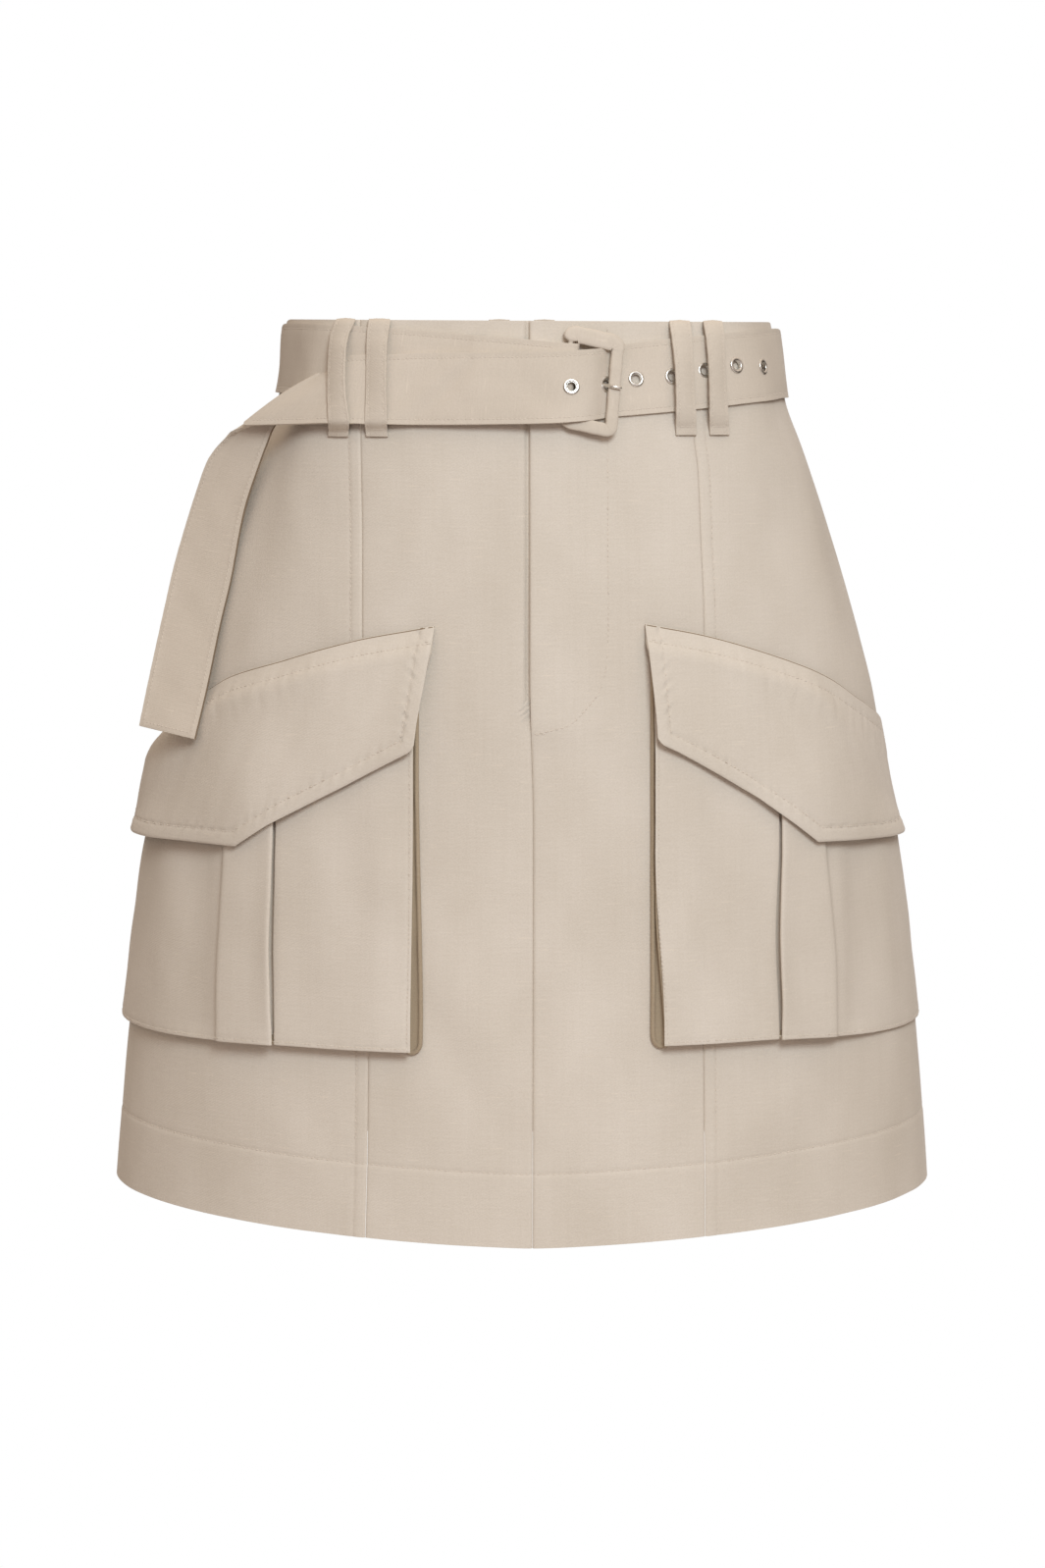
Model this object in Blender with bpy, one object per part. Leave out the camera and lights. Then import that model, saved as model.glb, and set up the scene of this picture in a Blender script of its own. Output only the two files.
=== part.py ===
"""Cargo utility skirt: an A-line mini skirt with two bellows pockets and a buckled belt.

Metres, +Z up. The origin is the centre of the waist opening, level with its top edge.
The front faces -Y and the wearer's left side is at +X.
Cloth is drawn by two cloth coordinates: s, the distance round the skirt from the
centre front (+ towards +X), and the height z, plus n, the distance out from its surface.
"""

import math

import bmesh
import bpy
from mathutils import Vector

MM = 0.001

# ---------------------------------------------------------------- driving sizes
LENGTH = 0.4505          # waist edge to hem at the centre front
HEM_RISE = 0.0075        # the hem is this much higher at the side seams
HEM_DEPTH = 0.036        # turned-up hem
CLOTH = 0.0012           # one layer of the skirt's twill
HEM_CLOTH = 0.0023       # the turned hem is two layers
GAP = 0.0003             # between pieces
SEAM_LEFT_FRONT = 0.0860     # princess seam of the wearer's left front, from the centre
SEAM_RIGHT_FRONT = 0.0830
FLY_OVERLAP = 0.0020     # the left front's edge lies this far past the centre
FLY_UNDERLAP = 0.0100    # the right front carries on this far under it
FLY_WIDTH = 0.0365
FLY_END = 0.201          # the fly closes this far below the waist edge
FLY_LIFT = CLOTH + GAP

BELT_WIDTH = 0.035
BELT_CLOTH = 0.0015
BELT_ACROSS = 2          # strips of faces across the belt
EYELET_SPLIT = 12        # sides of a round eyelet
HOLE_RADIUS = 0.0031
HOLE_DEPTH = 0.0013      # how far a hole's cutter reaches below the strap's middle
HOLE_DEPTH_OVER_PIN = 0.00095
BUCKLE_S = 0.0285
BUCKLE_Z = -0.0303
BUCKLE_TURN = math.radians(8.0)
BUCKLE_HALF = (0.01225, 0.0226)   # half sizes of the frame's middle line
BUCKLE_BAR = (0.00325, 0.0020)    # half width and half thickness of a covered bar
PIN_RADIUS = 0.0012
PRONG_RADIUS = 0.0009
LOOP_WIDTH = 0.011
LOOP_CLOTH = 0.0015

POCKET_CLOTH = 0.0010
FLAP_CLOTH = 0.0018
FLAP_SEAT = 0.0006       # the flap's sewn edge stands this far off the panels' facets
POCKET_LOW = 0.0046      # how far the pocket's face stands off at its flattest
POCKET_HIGH = 0.0075     # and at its inner edge
POCKET_TOP = 0.015       # the pocket's mouth lies this far below the flap's top edge
PLEAT = (0.1270, 0.1575)
PLEAT_RISE = 0.0022
POCKET_OUTER = math.radians(93.0)
FLAP_OUTER = math.radians(94.5)
SIDE_SEAM = math.radians(90.0)

# body section by height: half width, depth in front and behind (mm)
SECTION = (
    # z      half_width  front   back
    (0, 124.5, 85.0, 86.0),
    (-25, 130.0, 92.0, 93.0),
    (-50, 136.8, 98.0, 101.0),
    (-75, 145.5, 102.8, 109.0),
    (-100, 154.0, 107.3, 116.5),
    (-130, 163.4, 112.6, 126.0),
    (-160, 172.0, 117.0, 134.0),
    (-190, 179.8, 121.0, 139.5),
    (-240, 188.0, 127.0, 144.5),
    (-300, 197.0, 134.0, 148.0),
    (-370, 205.3, 141.5, 151.0),
    (-455, 212.4, 149.5, 154.0),
)

# heights at which the panels' rows of points lie (mm)
SIDE_LEVELS = (0, -28, -58, -92, -130, -180, -240, -310, -370)
FLY_LEVELS = (0, -28, -58, -92, -130, -171, -185, -194, -201, -213, -250, -310, -370)

# the flap's upper edge: cloth distance and height (mm)
FLAP_TOP = (
    # s     z
    (47, -145.5),
    (55, -147.0),
    (88, -153.5),
    (130, -165.5),
    (160, -176.0),
    (184, -187.0),
    (215, -198.0),
    (260, -213.0),
)

# the flap's lower edge, from its inner corner past the point to the side (mm)
FLAP_BOTTOM = (
    # s     z
    (53, -201.5),
    (59, -205.0),
    (145, -258.0),
    (172, -259.0),
    (205, -260.5),
    (251, -261.0),
    (258, -258.5),
    (262, -253.0),
    (270, -250.0),
)

# sizes that differ between the wearer's left (+1) and right (-1) pocket (mm)
POCKET_SIDES = {
    # side  flap_top_in  flap_bottom_in  face_in  face_bottom
    1: (55.0, 59.0, 60.5, -353.5),
    -1: (47.0, 53.5, 57.0, -357.0),
}

# the belt's first length: its sewn-down end, round the buckle's pin, then to the left (mm)
BELT_UNDER = (
    # s     z      n      lean
    (-24.0, -25.2, 1.30, 2.4),
    (-13.0, -25.9, 1.45, 2.8),
    (-5.0, -26.8, 2.65, 3.6),
    (4.0, -27.7, 2.65, 4.4),
    (12.0, -28.4, 2.60, 5.7),
)
BELT_OVER = (
    (12.0, -28.4, 7.40, 5.7),
    (3.0, -27.6, 5.75, 4.2),
    (-7.0, -26.6, 4.05, 3.4),
    (-18.0, -25.6, 3.25, 2.6),
    (-28.0, -25.0, 2.95, 2.4),
    (-38.0, -24.2, 1.75, 2.3),
    (-48.0, -23.4, 1.35, 2.2),
    (-60.0, -22.5, 1.35, 2.0),
    (-72.0, -21.6, 1.35, 1.8),
    (-86.0, -20.8, 1.35, 1.5),
    (-100.0, -20.1, 1.35, 1.0),
    (-115.0, -19.8, 1.35, 0.5),
    (-130.0, -19.7, 1.35, 0.0),
    (-145.0, -19.7, 1.35, 0.0),
)
BELT_STEP = 10.5         # longest straight stretch of the belt (mm)
BELT_BACK_STEPS = 38
# the belt's eyelet length, from the right over the buckle's pin and to the left (mm)
BELT_STRAP = (
    (150.0, -20.9, 1.35, -1.0),
    (127.0, -21.8, 1.35, -2.0),
    (106.0, -23.0, 1.35, -2.5),
    (86.0, -24.9, 1.35, -3.0),
    (68.0, -26.6, 1.35, -2.6),
    (57.0, -27.6, 1.35, -0.6),
    (48.0, -28.5, 1.35, 2.4),
    (42.5, -29.1, 1.35, 6.5),
    (39.3, -29.5, 1.55, 7.3),
    (36.8, -29.9, 2.55, 7.2),
    (34.3, -30.2, 4.20, 7.1),
    (31.0, -30.6, 6.05, 6.8),
    (27.0, -31.0, 7.60, 6.5),
    (22.0, -31.4, 8.90, 6.2),
    (16.0, -31.9, 9.50, 5.8),
    (8.0, -32.3, 9.15, 4.4),
    (0.0, -32.6, 7.95, 2.6),
    (-8.0, -32.8, 6.60, 1.6),
    (-18.0, -33.0, 5.55, 0.8),
    (-30.0, -33.3, 4.85, 0.3),
    (-42.0, -33.5, 3.85, 0.0),
    (-56.0, -33.8, 3.40, 0.0),
    (-74.0, -34.2, 3.40, 0.0),
    (-95.0, -34.6, 3.40, 0.0),
)
FOLD_RADIUS = 0.0012
FOLD_TOP = (-103.8, -61.9, -22.0)       # the slanted fold's two ends (mm)
FOLD_BOTTOM = (-143.6, -37.6, -53.2)
# the hanging tail: its two edges as it drops from the fold (mm)
TAIL = (
    # inner edge x, y, z        outer edge x, y, z
    (-116.0, -52.3, -38.0, -148.1, -32.0, -56.2),
    (-127.8, -46.0, -52.8, -152.4, -27.5, -58.8),
    (-132.2, -44.5, -62.8, -157.2, -24.5, -64.1),
    (-136.6, -44.5, -74.8, -162.5, -23.5, -72.0),
    (-142.1, -45.5, -91.3, -168.2, -24.5, -87.9),
    (-145.4, -47.0, -105.5, -172.9, -27.0, -102.8),
    (-149.8, -50.2, -129.8, -179.1, -30.5, -124.5),
    (-155.2, -54.0, -152.7, -184.3, -35.5, -147.8),
    (-161.7, -61.5, -184.2, -191.0, -43.0, -179.1),
    (-167.5, -68.0, -209.0, -196.0, -49.5, -204.0),
)

EYELETS = (18.5, 33.9, 50.9, 68.4, 86.1, 106.4, 126.9)
EYELET_DROP = 0.7        # the row of eyelets runs this far below the middle (mm)
EYELET_SECTION = (
    # radius  height over the strap's middle layer (mm)
    (2.3, -0.70),
    (2.8, -0.70),
    (2.8, 1.05),
    (4.2, 1.05),
    (3.9, 1.60),
    (2.3, 1.60),
)
PRONG_PATH = (
    # s     n  (mm)
    (20.6, 4.6),
    (26.0, 4.1),
    (30.0, 3.2),
    (32.2, 3.1),
    (33.9, 4.4),
    (35.4, 6.5),
    (37.4, 8.4),
    (40.5, 9.0),
    (43.4, 8.7),
)
PRONG_Z = -0.0309

# belt loops: cloth distance at the top and at the foot (mm)
LOOPS = {
    "belt_loop_right_outer": (-99.5, -99.5),
    "belt_loop_right_inner": (-74.0, -74.0),
    "belt_loop_left_inner": (77.5, 81.0),
    "belt_loop_left_outer": (97.0, 101.0),
}
BACK_LOOP_OFFSET = 12.0  # the back pair's distance from the centre back
# profile of a loop down the belt: height and distance out (mm)
LOOP_OVER_ONE = (
    (1.05, -1.2),
    (1.05, 0.1),
    (0.5, 1.8),
    (-1.8, 3.2),
    (-7.0, 3.7),
    (-22.0, 4.2),
    (-38.0, 3.9),
    (-46.0, 3.3),
    (-51.0, 2.0),
    (-54.0, 1.2),
    (-57.5, 1.05),
)
LOOP_OVER_TWO = (
    (1.05, -1.2),
    (1.05, 0.1),
    (0.5, 1.8),
    (-1.8, 3.2),
    (-7.0, 3.9),
    (-14.5, 5.3),
    (-34.0, 5.9),
    (-52.2, 5.35),
    (-54.3, 3.4),
    (-56.2, 1.5),
    (-59.0, 1.05),
)

LOOP_OVER_FOLD = (
    (1.05, -1.2),
    (1.05, 0.1),
    (0.5, 1.8),
    (-1.8, 3.2),
    (-7.0, 4.2),
    (-14.5, 6.4),
    (-34.0, 7.2),
    (-52.4, 6.9),
    (-54.8, 4.2),
    (-56.6, 1.6),
    (-59.4, 1.05),
)
LOOP_PROFILES = {
    "belt_loop_right_outer": LOOP_OVER_FOLD,
    "belt_loop_right_inner": LOOP_OVER_TWO,
    "belt_loop_left_inner": LOOP_OVER_ONE,
    "belt_loop_left_outer": LOOP_OVER_ONE,
}

# colours as sRGB, roughness, metallic
CLOTH_LOOK = ((0.815, 0.765, 0.690), 0.85, 0.0)
CLOTH_SHADE_LOOK = ((0.780, 0.728, 0.650), 0.85, 0.0)
BELT_LOOK = ((0.800, 0.745, 0.665), 0.8, 0.0)
METAL_LOOK = ((0.760, 0.755, 0.745), 0.3, 1.0)


# ---------------------------------------------------------------- small maths
def mix(a, b, t):
    return a + (b - a) * t


def smooth(t):
    t = min(1.0, max(0.0, t))
    return t * t * (3.0 - 2.0 * t)


def along(table, x, column):
    """Value of a table's column at x, read from a smooth curve through its rows."""
    rows = sorted(table)
    if x <= rows[0][0]:
        return rows[0][column]
    if x >= rows[-1][0]:
        return rows[-1][column]
    i = 0
    while rows[i + 1][0] < x:
        i += 1
    p1, p2 = rows[i], rows[i + 1]
    p0, p3 = rows[max(i - 1, 0)], rows[min(i + 2, len(rows) - 1)]
    span = p2[0] - p1[0]
    t = (x - p1[0]) / span
    m1 = span * (p2[column] - p0[column]) / (p2[0] - p0[0])
    m2 = span * (p3[column] - p1[column]) / (p3[0] - p1[0])
    h1 = 2 * t ** 3 - 3 * t ** 2 + 1
    h2 = t ** 3 - 2 * t ** 2 + t
    h3 = -2 * t ** 3 + 3 * t ** 2
    h4 = t ** 3 - t ** 2
    return h1 * p1[column] + h2 * m1 + h3 * p2[column] + h4 * m2


def straight(table, x, column=1):
    """Value of a table's column at x, with straight lines between its rows."""
    if x <= table[0][0]:
        return table[0][column]
    for low, high in zip(table, table[1:]):
        if x <= high[0]:
            return mix(low[column], high[column], (x - low[0]) / (high[0] - low[0]))
    return table[-1][column]


# ---------------------------------------------------------------- the skirt's surface
ARC_STEPS = 180
_arc_cache = {}


def section(z):
    """Half width, front depth and back depth of the body at height z."""
    level = z / MM
    return tuple(along(SECTION, level, k) * MM for k in (1, 2, 3))


def ring_point(theta, z, n):
    """Point at angle theta from the centre front, n outside the surface."""
    width, front, back = section(z)
    depth = front if math.cos(theta) >= 0 else back
    normal = Vector((math.sin(theta) / width, -math.cos(theta) / depth, 0.0)).normalized()
    return Vector((width * math.sin(theta), -depth * math.cos(theta), z)) + n * normal


def arc_lengths(z):
    """Distances along the surface from the centre front to the centre back."""
    key = round(z / (0.1 * MM))
    if key not in _arc_cache:
        lengths = [0.0]
        last = ring_point(0.0, key * 0.1 * MM, 0.0)
        for k in range(1, ARC_STEPS + 1):
            point = ring_point(math.pi * k / ARC_STEPS, key * 0.1 * MM, 0.0)
            lengths.append(lengths[-1] + (point - last).length)
            last = point
        _arc_cache[key] = lengths
    return _arc_cache[key]


def arc_at(theta, z):
    lengths = arc_lengths(z)
    place = abs(theta) / math.pi * ARC_STEPS
    low = min(int(place), ARC_STEPS - 1)
    return math.copysign(mix(lengths[low], lengths[low + 1], place - low), theta)


def theta_at(s, z):
    lengths = arc_lengths(z)
    distance = abs(s)
    if distance >= lengths[-1]:
        beyond = (distance - lengths[-1]) / (lengths[-1] - lengths[-2])
        return math.copysign(math.pi * (1.0 + beyond / ARC_STEPS), s)
    low, high = 0, ARC_STEPS
    while high - low > 1:
        middle = (low + high) // 2
        if lengths[middle] <= distance:
            low = middle
        else:
            high = middle
    part = (distance - lengths[low]) / (lengths[high] - lengths[low])
    return math.copysign(math.pi * (low + part) / ARC_STEPS, s)


def on_skirt(s, z, n):
    """Point at cloth distance s and height z, n outside the surface."""
    return ring_point(theta_at(s, z), z, n)


def hem_height(theta):
    return -LENGTH + HEM_RISE * abs(math.sin(theta)) ** 1.2


# ---------------------------------------------------------------- meshes
def material(name, look):
    colour, roughness, metallic = look
    made = bpy.data.materials.new(name)
    made.use_nodes = True
    shader = made.node_tree.nodes["Principled BSDF"]
    linear = [c / 12.92 if c <= 0.04045 else ((c + 0.055) / 1.055) ** 2.4 for c in colour]
    shader.inputs["Base Color"].default_value = (*linear, 1.0)
    shader.inputs["Roughness"].default_value = roughness
    shader.inputs["Metallic"].default_value = metallic
    made.diffuse_color = (*linear, 1.0)
    return made


def finish(name, bm, look):
    """Turn a bmesh into a named object with its own material, faces outward."""
    bmesh.ops.recalc_face_normals(bm, faces=bm.faces)
    mesh = bpy.data.meshes.new(name)
    bm.to_mesh(mesh)
    bm.free()
    mesh.materials.append(material(name + "_look", look))
    mesh.shade_smooth()
    mesh.set_sharp_from_angle(angle=math.radians(40))
    made = bpy.data.objects.new(name, mesh)
    bpy.context.scene.collection.objects.link(made)
    return made


def shell(name, outer, inner, look):
    """Closed wall between two grids of points of the same size."""
    bm = bmesh.new()
    out = [[bm.verts.new(p) for p in row] for row in outer]
    back = [[bm.verts.new(p) for p in row] for row in inner]
    rows, columns = len(outer), len(outer[0])
    for i in range(rows - 1):
        for j in range(columns - 1):
            bm.faces.new((out[i][j], out[i][j + 1], out[i + 1][j + 1], out[i + 1][j]))
            bm.faces.new((back[i][j], back[i + 1][j], back[i + 1][j + 1], back[i][j + 1]))
    rim = [(0, j) for j in range(columns)]
    rim += [(i, columns - 1) for i in range(1, rows)]
    rim += [(rows - 1, j) for j in range(columns - 2, -1, -1)]
    rim += [(i, 0) for i in range(rows - 2, 0, -1)]
    for (a, b), (c, d) in zip(rim, rim[1:] + rim[:1]):
        bm.faces.new((out[a][b], back[a][b], back[c][d], out[c][d]))
    return finish(name, bm, look)


def tube(name, rings, look, closed):
    """Solid through rings of points, closed on itself or capped at both ends."""
    bm = bmesh.new()
    made = [[bm.verts.new(p) for p in ring] for ring in rings]
    count = len(made[0])
    pairs = list(zip(made, made[1:]))
    if closed:
        pairs.append((made[-1], made[0]))
    else:
        bm.faces.new(made[0])
        bm.faces.new(list(reversed(made[-1])))
    for first, second in pairs:
        for k in range(count):
            after = (k + 1) % count
            bm.faces.new((first[k], second[k], second[after], first[after]))
    return finish(name, bm, look)


def ribbon(name, rows, thickness, look):
    """Flat strip of even thickness round a grid of middle points."""
    half = thickness / 2
    outer, inner = [], []
    last = len(rows) - 1
    for i, row in enumerate(rows):
        ahead, behind = rows[min(i + 1, last)], rows[max(i - 1, 0)]
        out_row, in_row = [], []
        for j, point in enumerate(row):
            run = ahead[j] - behind[j]
            across = row[min(j + 1, len(row) - 1)] - row[max(j - 1, 0)]
            normal = run.cross(across).normalized()
            out_row.append(point + half * normal)
            in_row.append(point - half * normal)
        outer.append(out_row)
        inner.append(in_row)
    return shell(name, outer, inner, look)


# ---------------------------------------------------------------- body panels
def panel_rows(theta_hem, levels):
    """Heights down a panel, with a step where the hem's second layer begins."""
    hem = hem_height(theta_hem)
    top = hem + HEM_DEPTH
    return [v * MM for v in levels] + [top, top - 0.6 * MM, mix(top, hem, 0.55), hem]


def panel(name, edges, splits, levels, lift, look):
    """Wall between two edge lines s(z), split across at the given parts."""
    first, second = edges
    level = -LENGTH + HEM_RISE
    outer, inner = [], []
    columns = []
    for part in splits:
        theta = theta_at(mix(first(level), second(level), part), level)
        columns.append((part, panel_rows(theta, levels)))
    for i in range(len(columns[0][1])):
        out_row, in_row = [], []
        for part, heights in columns:
            z = heights[i]
            s = mix(first(z), second(z), part)
            rise = lift(s, z)
            wall = HEM_CLOTH if i > len(levels) else CLOTH
            out_row.append(on_skirt(s, z, rise))
            in_row.append(on_skirt(s, z, rise - wall))
        outer.append(out_row)
        inner.append(in_row)
    return shell(name, outer, inner, look)


def no_lift(s, z):
    return 0.0


def fly_lift(s, z):
    """The left front rides over the right one down to the end of the fly."""
    across = 1.0 - smooth((s - 12 * MM) / (FLY_WIDTH - 12 * MM))
    down = 1.0 - smooth((-z - (FLY_END - 7 * MM)) / (19 * MM))
    return FLY_LIFT * across * down


def left_front_edge(z):
    t = smooth((-z - (FLY_END - 16 * MM)) / (9 * MM))
    return mix(-FLY_OVERLAP, GAP / 2, t)


def right_front_edge(z):
    t = smooth((-z - (FLY_END - 30 * MM)) / (14 * MM))
    return mix(FLY_UNDERLAP, -GAP / 2, t)


def left_seam(z):
    return SEAM_LEFT_FRONT - GAP / 2


def right_seam(z):
    return -(SEAM_RIGHT_FRONT - GAP / 2)


def side_edge(sign):
    return lambda z: sign * (arc_at(SIDE_SEAM, z) - GAP / 2)


def build_panels():
    fine = (0.0, 0.07, 0.16, 0.24, 0.33, 0.43, 0.60, 0.80, 1.0)
    even = tuple(k / 9 for k in range(10))
    side = tuple(k / 12 for k in range(13))
    fly_levels = FLY_LEVELS
    panel("front_left", (left_front_edge, left_seam), fine, fly_levels, fly_lift, CLOTH_LOOK)
    panel("front_right", (right_seam, right_front_edge), even, fly_levels, no_lift, CLOTH_LOOK)
    panel(
        "side_front_left",
        (lambda z: SEAM_LEFT_FRONT + GAP / 2, side_edge(1)),
        side,
        SIDE_LEVELS,
        no_lift,
        CLOTH_LOOK,
    )
    panel(
        "side_front_right",
        (side_edge(-1), lambda z: -(SEAM_RIGHT_FRONT + GAP / 2)),
        side,
        SIDE_LEVELS,
        no_lift,
        CLOTH_LOOK,
    )
    build_back()


def build_back():
    """One piece from side seam to side seam round the back."""
    steps = 34
    outer, inner = [], []
    for i in range(len(SIDE_LEVELS) + 4):
        out_row, in_row = [], []
        for j in range(steps + 1):
            theta = mix(SIDE_SEAM, 2 * math.pi - SIDE_SEAM, j / steps)
            z = panel_rows(theta, SIDE_LEVELS)[i]
            edge = GAP / 2 / section(z)[2]
            theta = mix(SIDE_SEAM + edge, 2 * math.pi - SIDE_SEAM - edge, j / steps)
            wall = HEM_CLOTH if i > len(SIDE_LEVELS) else CLOTH
            out_row.append(ring_point(theta, z, 0.0))
            in_row.append(ring_point(theta, z, -wall))
        outer.append(out_row)
        inner.append(in_row)
    shell("back", outer, inner, CLOTH_LOOK)


# ---------------------------------------------------------------- pockets
def flap_top(s):
    return along(FLAP_TOP, s / MM, 1) * MM


def pocket_height(s, z):
    """Distance of the pocket's outer face from the skirt, without the pleat."""
    across = 1.0 - min(1.0, max(0.0, (s - 60 * MM) / (190 * MM)))
    down = smooth((flap_top(s) - z - POCKET_TOP) / (55 * MM))
    return POCKET_LOW + (POCKET_HIGH - POCKET_LOW) * across * down


def pleat_height(s, z):
    """The raised band of the pleat: a crisp edge inside, a softer one outside."""
    inside = smooth((s - PLEAT[0] + 0.5 * MM) / (1.0 * MM))
    outside = 1.0 - smooth((s - PLEAT[1] + 3 * MM) / (5 * MM))
    down = smooth((flap_top(s) - z - POCKET_TOP) / (60 * MM))
    return PLEAT_RISE * inside * outside * (0.2 + 0.8 * down)


def flap_height(s, z):
    """Distance of the flap's underside from the skirt."""
    drop = flap_top(s) - z
    if drop < 14 * MM:
        return FLAP_SEAT + smooth(drop / (14 * MM)) * (POCKET_LOW + 3 * GAP - FLAP_SEAT)
    over_pleat = math.exp(-(((s - 142 * MM) / (30 * MM)) ** 2))
    clear = GAP + smooth((drop - POCKET_TOP) / (60 * MM)) * (0.9 + 1.6 * over_pleat) * MM
    return pocket_height(s, z) + 2 * GAP + clear + 0.45 * MM * over_pleat


def pocket_columns(side, z):
    """Cloth distances of the pocket's columns of points, from inner to outer edge."""
    face_in = POCKET_SIDES[side][2] * MM
    columns = [mix(face_in, PLEAT[0] - 0.5 * MM, k / 4) for k in range(5)]
    columns += [PLEAT[0] + 0.5 * MM, mix(*PLEAT, 0.5), PLEAT[1] - 3 * MM, PLEAT[1] + 2 * MM]
    edge = arc_at(POCKET_OUTER, z)
    return columns + [mix(columns[-1], edge, k / 7) for k in range(1, 8)]


def build_pocket_face(name, side):
    face_bottom = POCKET_SIDES[side][3] * MM
    outer, inner = [], []
    rows = 7
    for i in range(rows + 1):
        out_row, in_row = [], []
        for s in pocket_columns(side, mix(-0.21, face_bottom, i / rows)):
            z = mix(flap_top(s) - POCKET_TOP, face_bottom, i / rows)
            height = pocket_height(s, z) + pleat_height(s, z)
            out_row.append(on_skirt(side * s, z, height))
            in_row.append(on_skirt(side * s, z, height - POCKET_CLOTH))
        outer.append(out_row)
        inner.append(in_row)
    shell(name, outer, inner, CLOTH_LOOK)


def gusset_section(height):
    """Folded strip seen end on: distance out from the face's edge, and n (mm)."""
    return (
        (-4.5, height - 1.55),
        (-0.3, height - 1.55),
        (1.9, mix(1.0, height - 1.5, 0.6)),
        (3.1, 1.0),
        (2.8, 0.5),
        (-4.5, 0.5),
        (-4.5, 1.5),
        (1.4, 1.5),
        (0.7, mix(1.5, height - 2.5, 0.5)),
        (-0.8, height - 2.5),
        (-4.5, height - 2.5),
    )


def build_gusset(name, side):
    _, _, face_in, face_bottom = (v * MM for v in POCKET_SIDES[side])
    corner = 5 * MM
    stations = []
    high = flap_top(face_in) - POCKET_TOP
    for k in range(6):
        stations.append((face_in, mix(high, face_bottom + corner, k / 5), -1.0, 0.0))
    for k in (1, 2):
        turn = math.radians(30 * k)
        s = face_in + corner * (1 - math.cos(turn))
        z = face_bottom + corner * (1 - math.sin(turn))
        stations.append((s, z, -math.cos(turn), -math.sin(turn)))
    edge = arc_at(POCKET_OUTER, face_bottom)
    bottom = [s for s in pocket_columns(side, face_bottom) if s > face_in + corner + MM]
    bottom = [s for s in bottom if s < edge - corner - MM]
    for s in [face_in + corner] + bottom + [edge - corner]:
        stations.append((s, face_bottom, 0.0, -1.0))
    for k in (1, 2):
        turn = math.radians(30 * k)
        s = edge - corner * (1 - math.sin(turn))
        z = face_bottom + corner * (1 - math.cos(turn))
        stations.append((s, z, math.sin(turn), -math.cos(turn)))
    for k in range(5):
        low = face_bottom + corner
        z = mix(low, flap_top(edge) - POCKET_TOP, k / 4)
        stations.append((arc_at(POCKET_OUTER, z), z, 1.0, 0.0))
    rings = []
    for s, z, out_s, out_z in stations:
        height = pocket_height(s, z) / MM
        ring = []
        for distance, n in gusset_section(height):
            reach = distance * MM
            place = (side * (s + reach * out_s), z + reach * out_z)
            ring.append(on_skirt(place[0], place[1], n * MM))
        rings.append(ring)
    tube(name, rings, CLOTH_SHADE_LOOK, closed=False)


def build_flap(name, side):
    top_in, bottom_in, _, _ = (v * MM for v in POCKET_SIDES[side])
    lows = [mix(bottom_in, 145 * MM, k / 5) for k in range(6)]
    lows += [v * MM for v in (158, 172, 186, 200, 214, 228, 242)]
    edge_low = arc_at(FLAP_OUTER, -0.256)
    lows += [edge_low - 7 * MM, edge_low - 2.5 * MM, edge_low]
    drops = (0.0, 0.06, 0.16, 0.28, 0.46, 0.64, 0.82, 1.0)
    edge_high = arc_at(FLAP_OUTER, -0.209)
    outer, inner = [], []
    for drop in drops:
        out_row, in_row = [], []
        for low in lows:
            part = (low - bottom_in) / (edge_low - bottom_in)
            high = mix(top_in, edge_high, part)
            z_low = straight(FLAP_BOTTOM, low / MM) * MM
            rounding = max(0.0, (low - edge_low + 7 * MM) / (7 * MM))
            z_low += 7 * MM * (1 - math.sqrt(1 - min(1.0, rounding) ** 2))
            s = mix(high, low, drop)
            z = mix(flap_top(high), z_low, drop)
            under = flap_height(s, z)
            out_row.append(on_skirt(side * s, z, under + FLAP_CLOTH))
            in_row.append(on_skirt(side * s, z, under))
        outer.append(out_row)
        inner.append(in_row)
    shell(name, outer, inner, CLOTH_LOOK)


# ---------------------------------------------------------------- belt
def cross_line(s, z, n, lean):
    """Points across the belt at one place, from its top edge down, from values in mm."""
    theta = theta_at(s * MM, z * MM)
    line = []
    for k in range(BELT_ACROSS + 1):
        part = 0.5 - k / BELT_ACROSS
        height = z * MM + part * BELT_WIDTH
        line.append(on_skirt(arc_at(theta, height) + part * lean * MM, height, n * MM))
    return line


def spread(top, bottom):
    """Points across the belt between two given edges."""
    return [top.lerp(bottom, k / BELT_ACROSS) for k in range(BELT_ACROSS + 1)]


def pin_lines():
    """Edges of the belt as it turns round the buckle's pin."""
    pin_s, pin_n = 16.35, 5.0
    radius = PIN_RADIUS / MM + 0.45 + BELT_CLOTH / MM / 2
    lines = []
    for k in range(1, 8):
        turn = math.pi * k / 8
        lines.append(
            cross_line(
                pin_s + radius * math.sin(turn),
                -28.6,
                pin_n - radius * math.cos(turn),
                6.0,
            )
        )
    return lines


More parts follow.
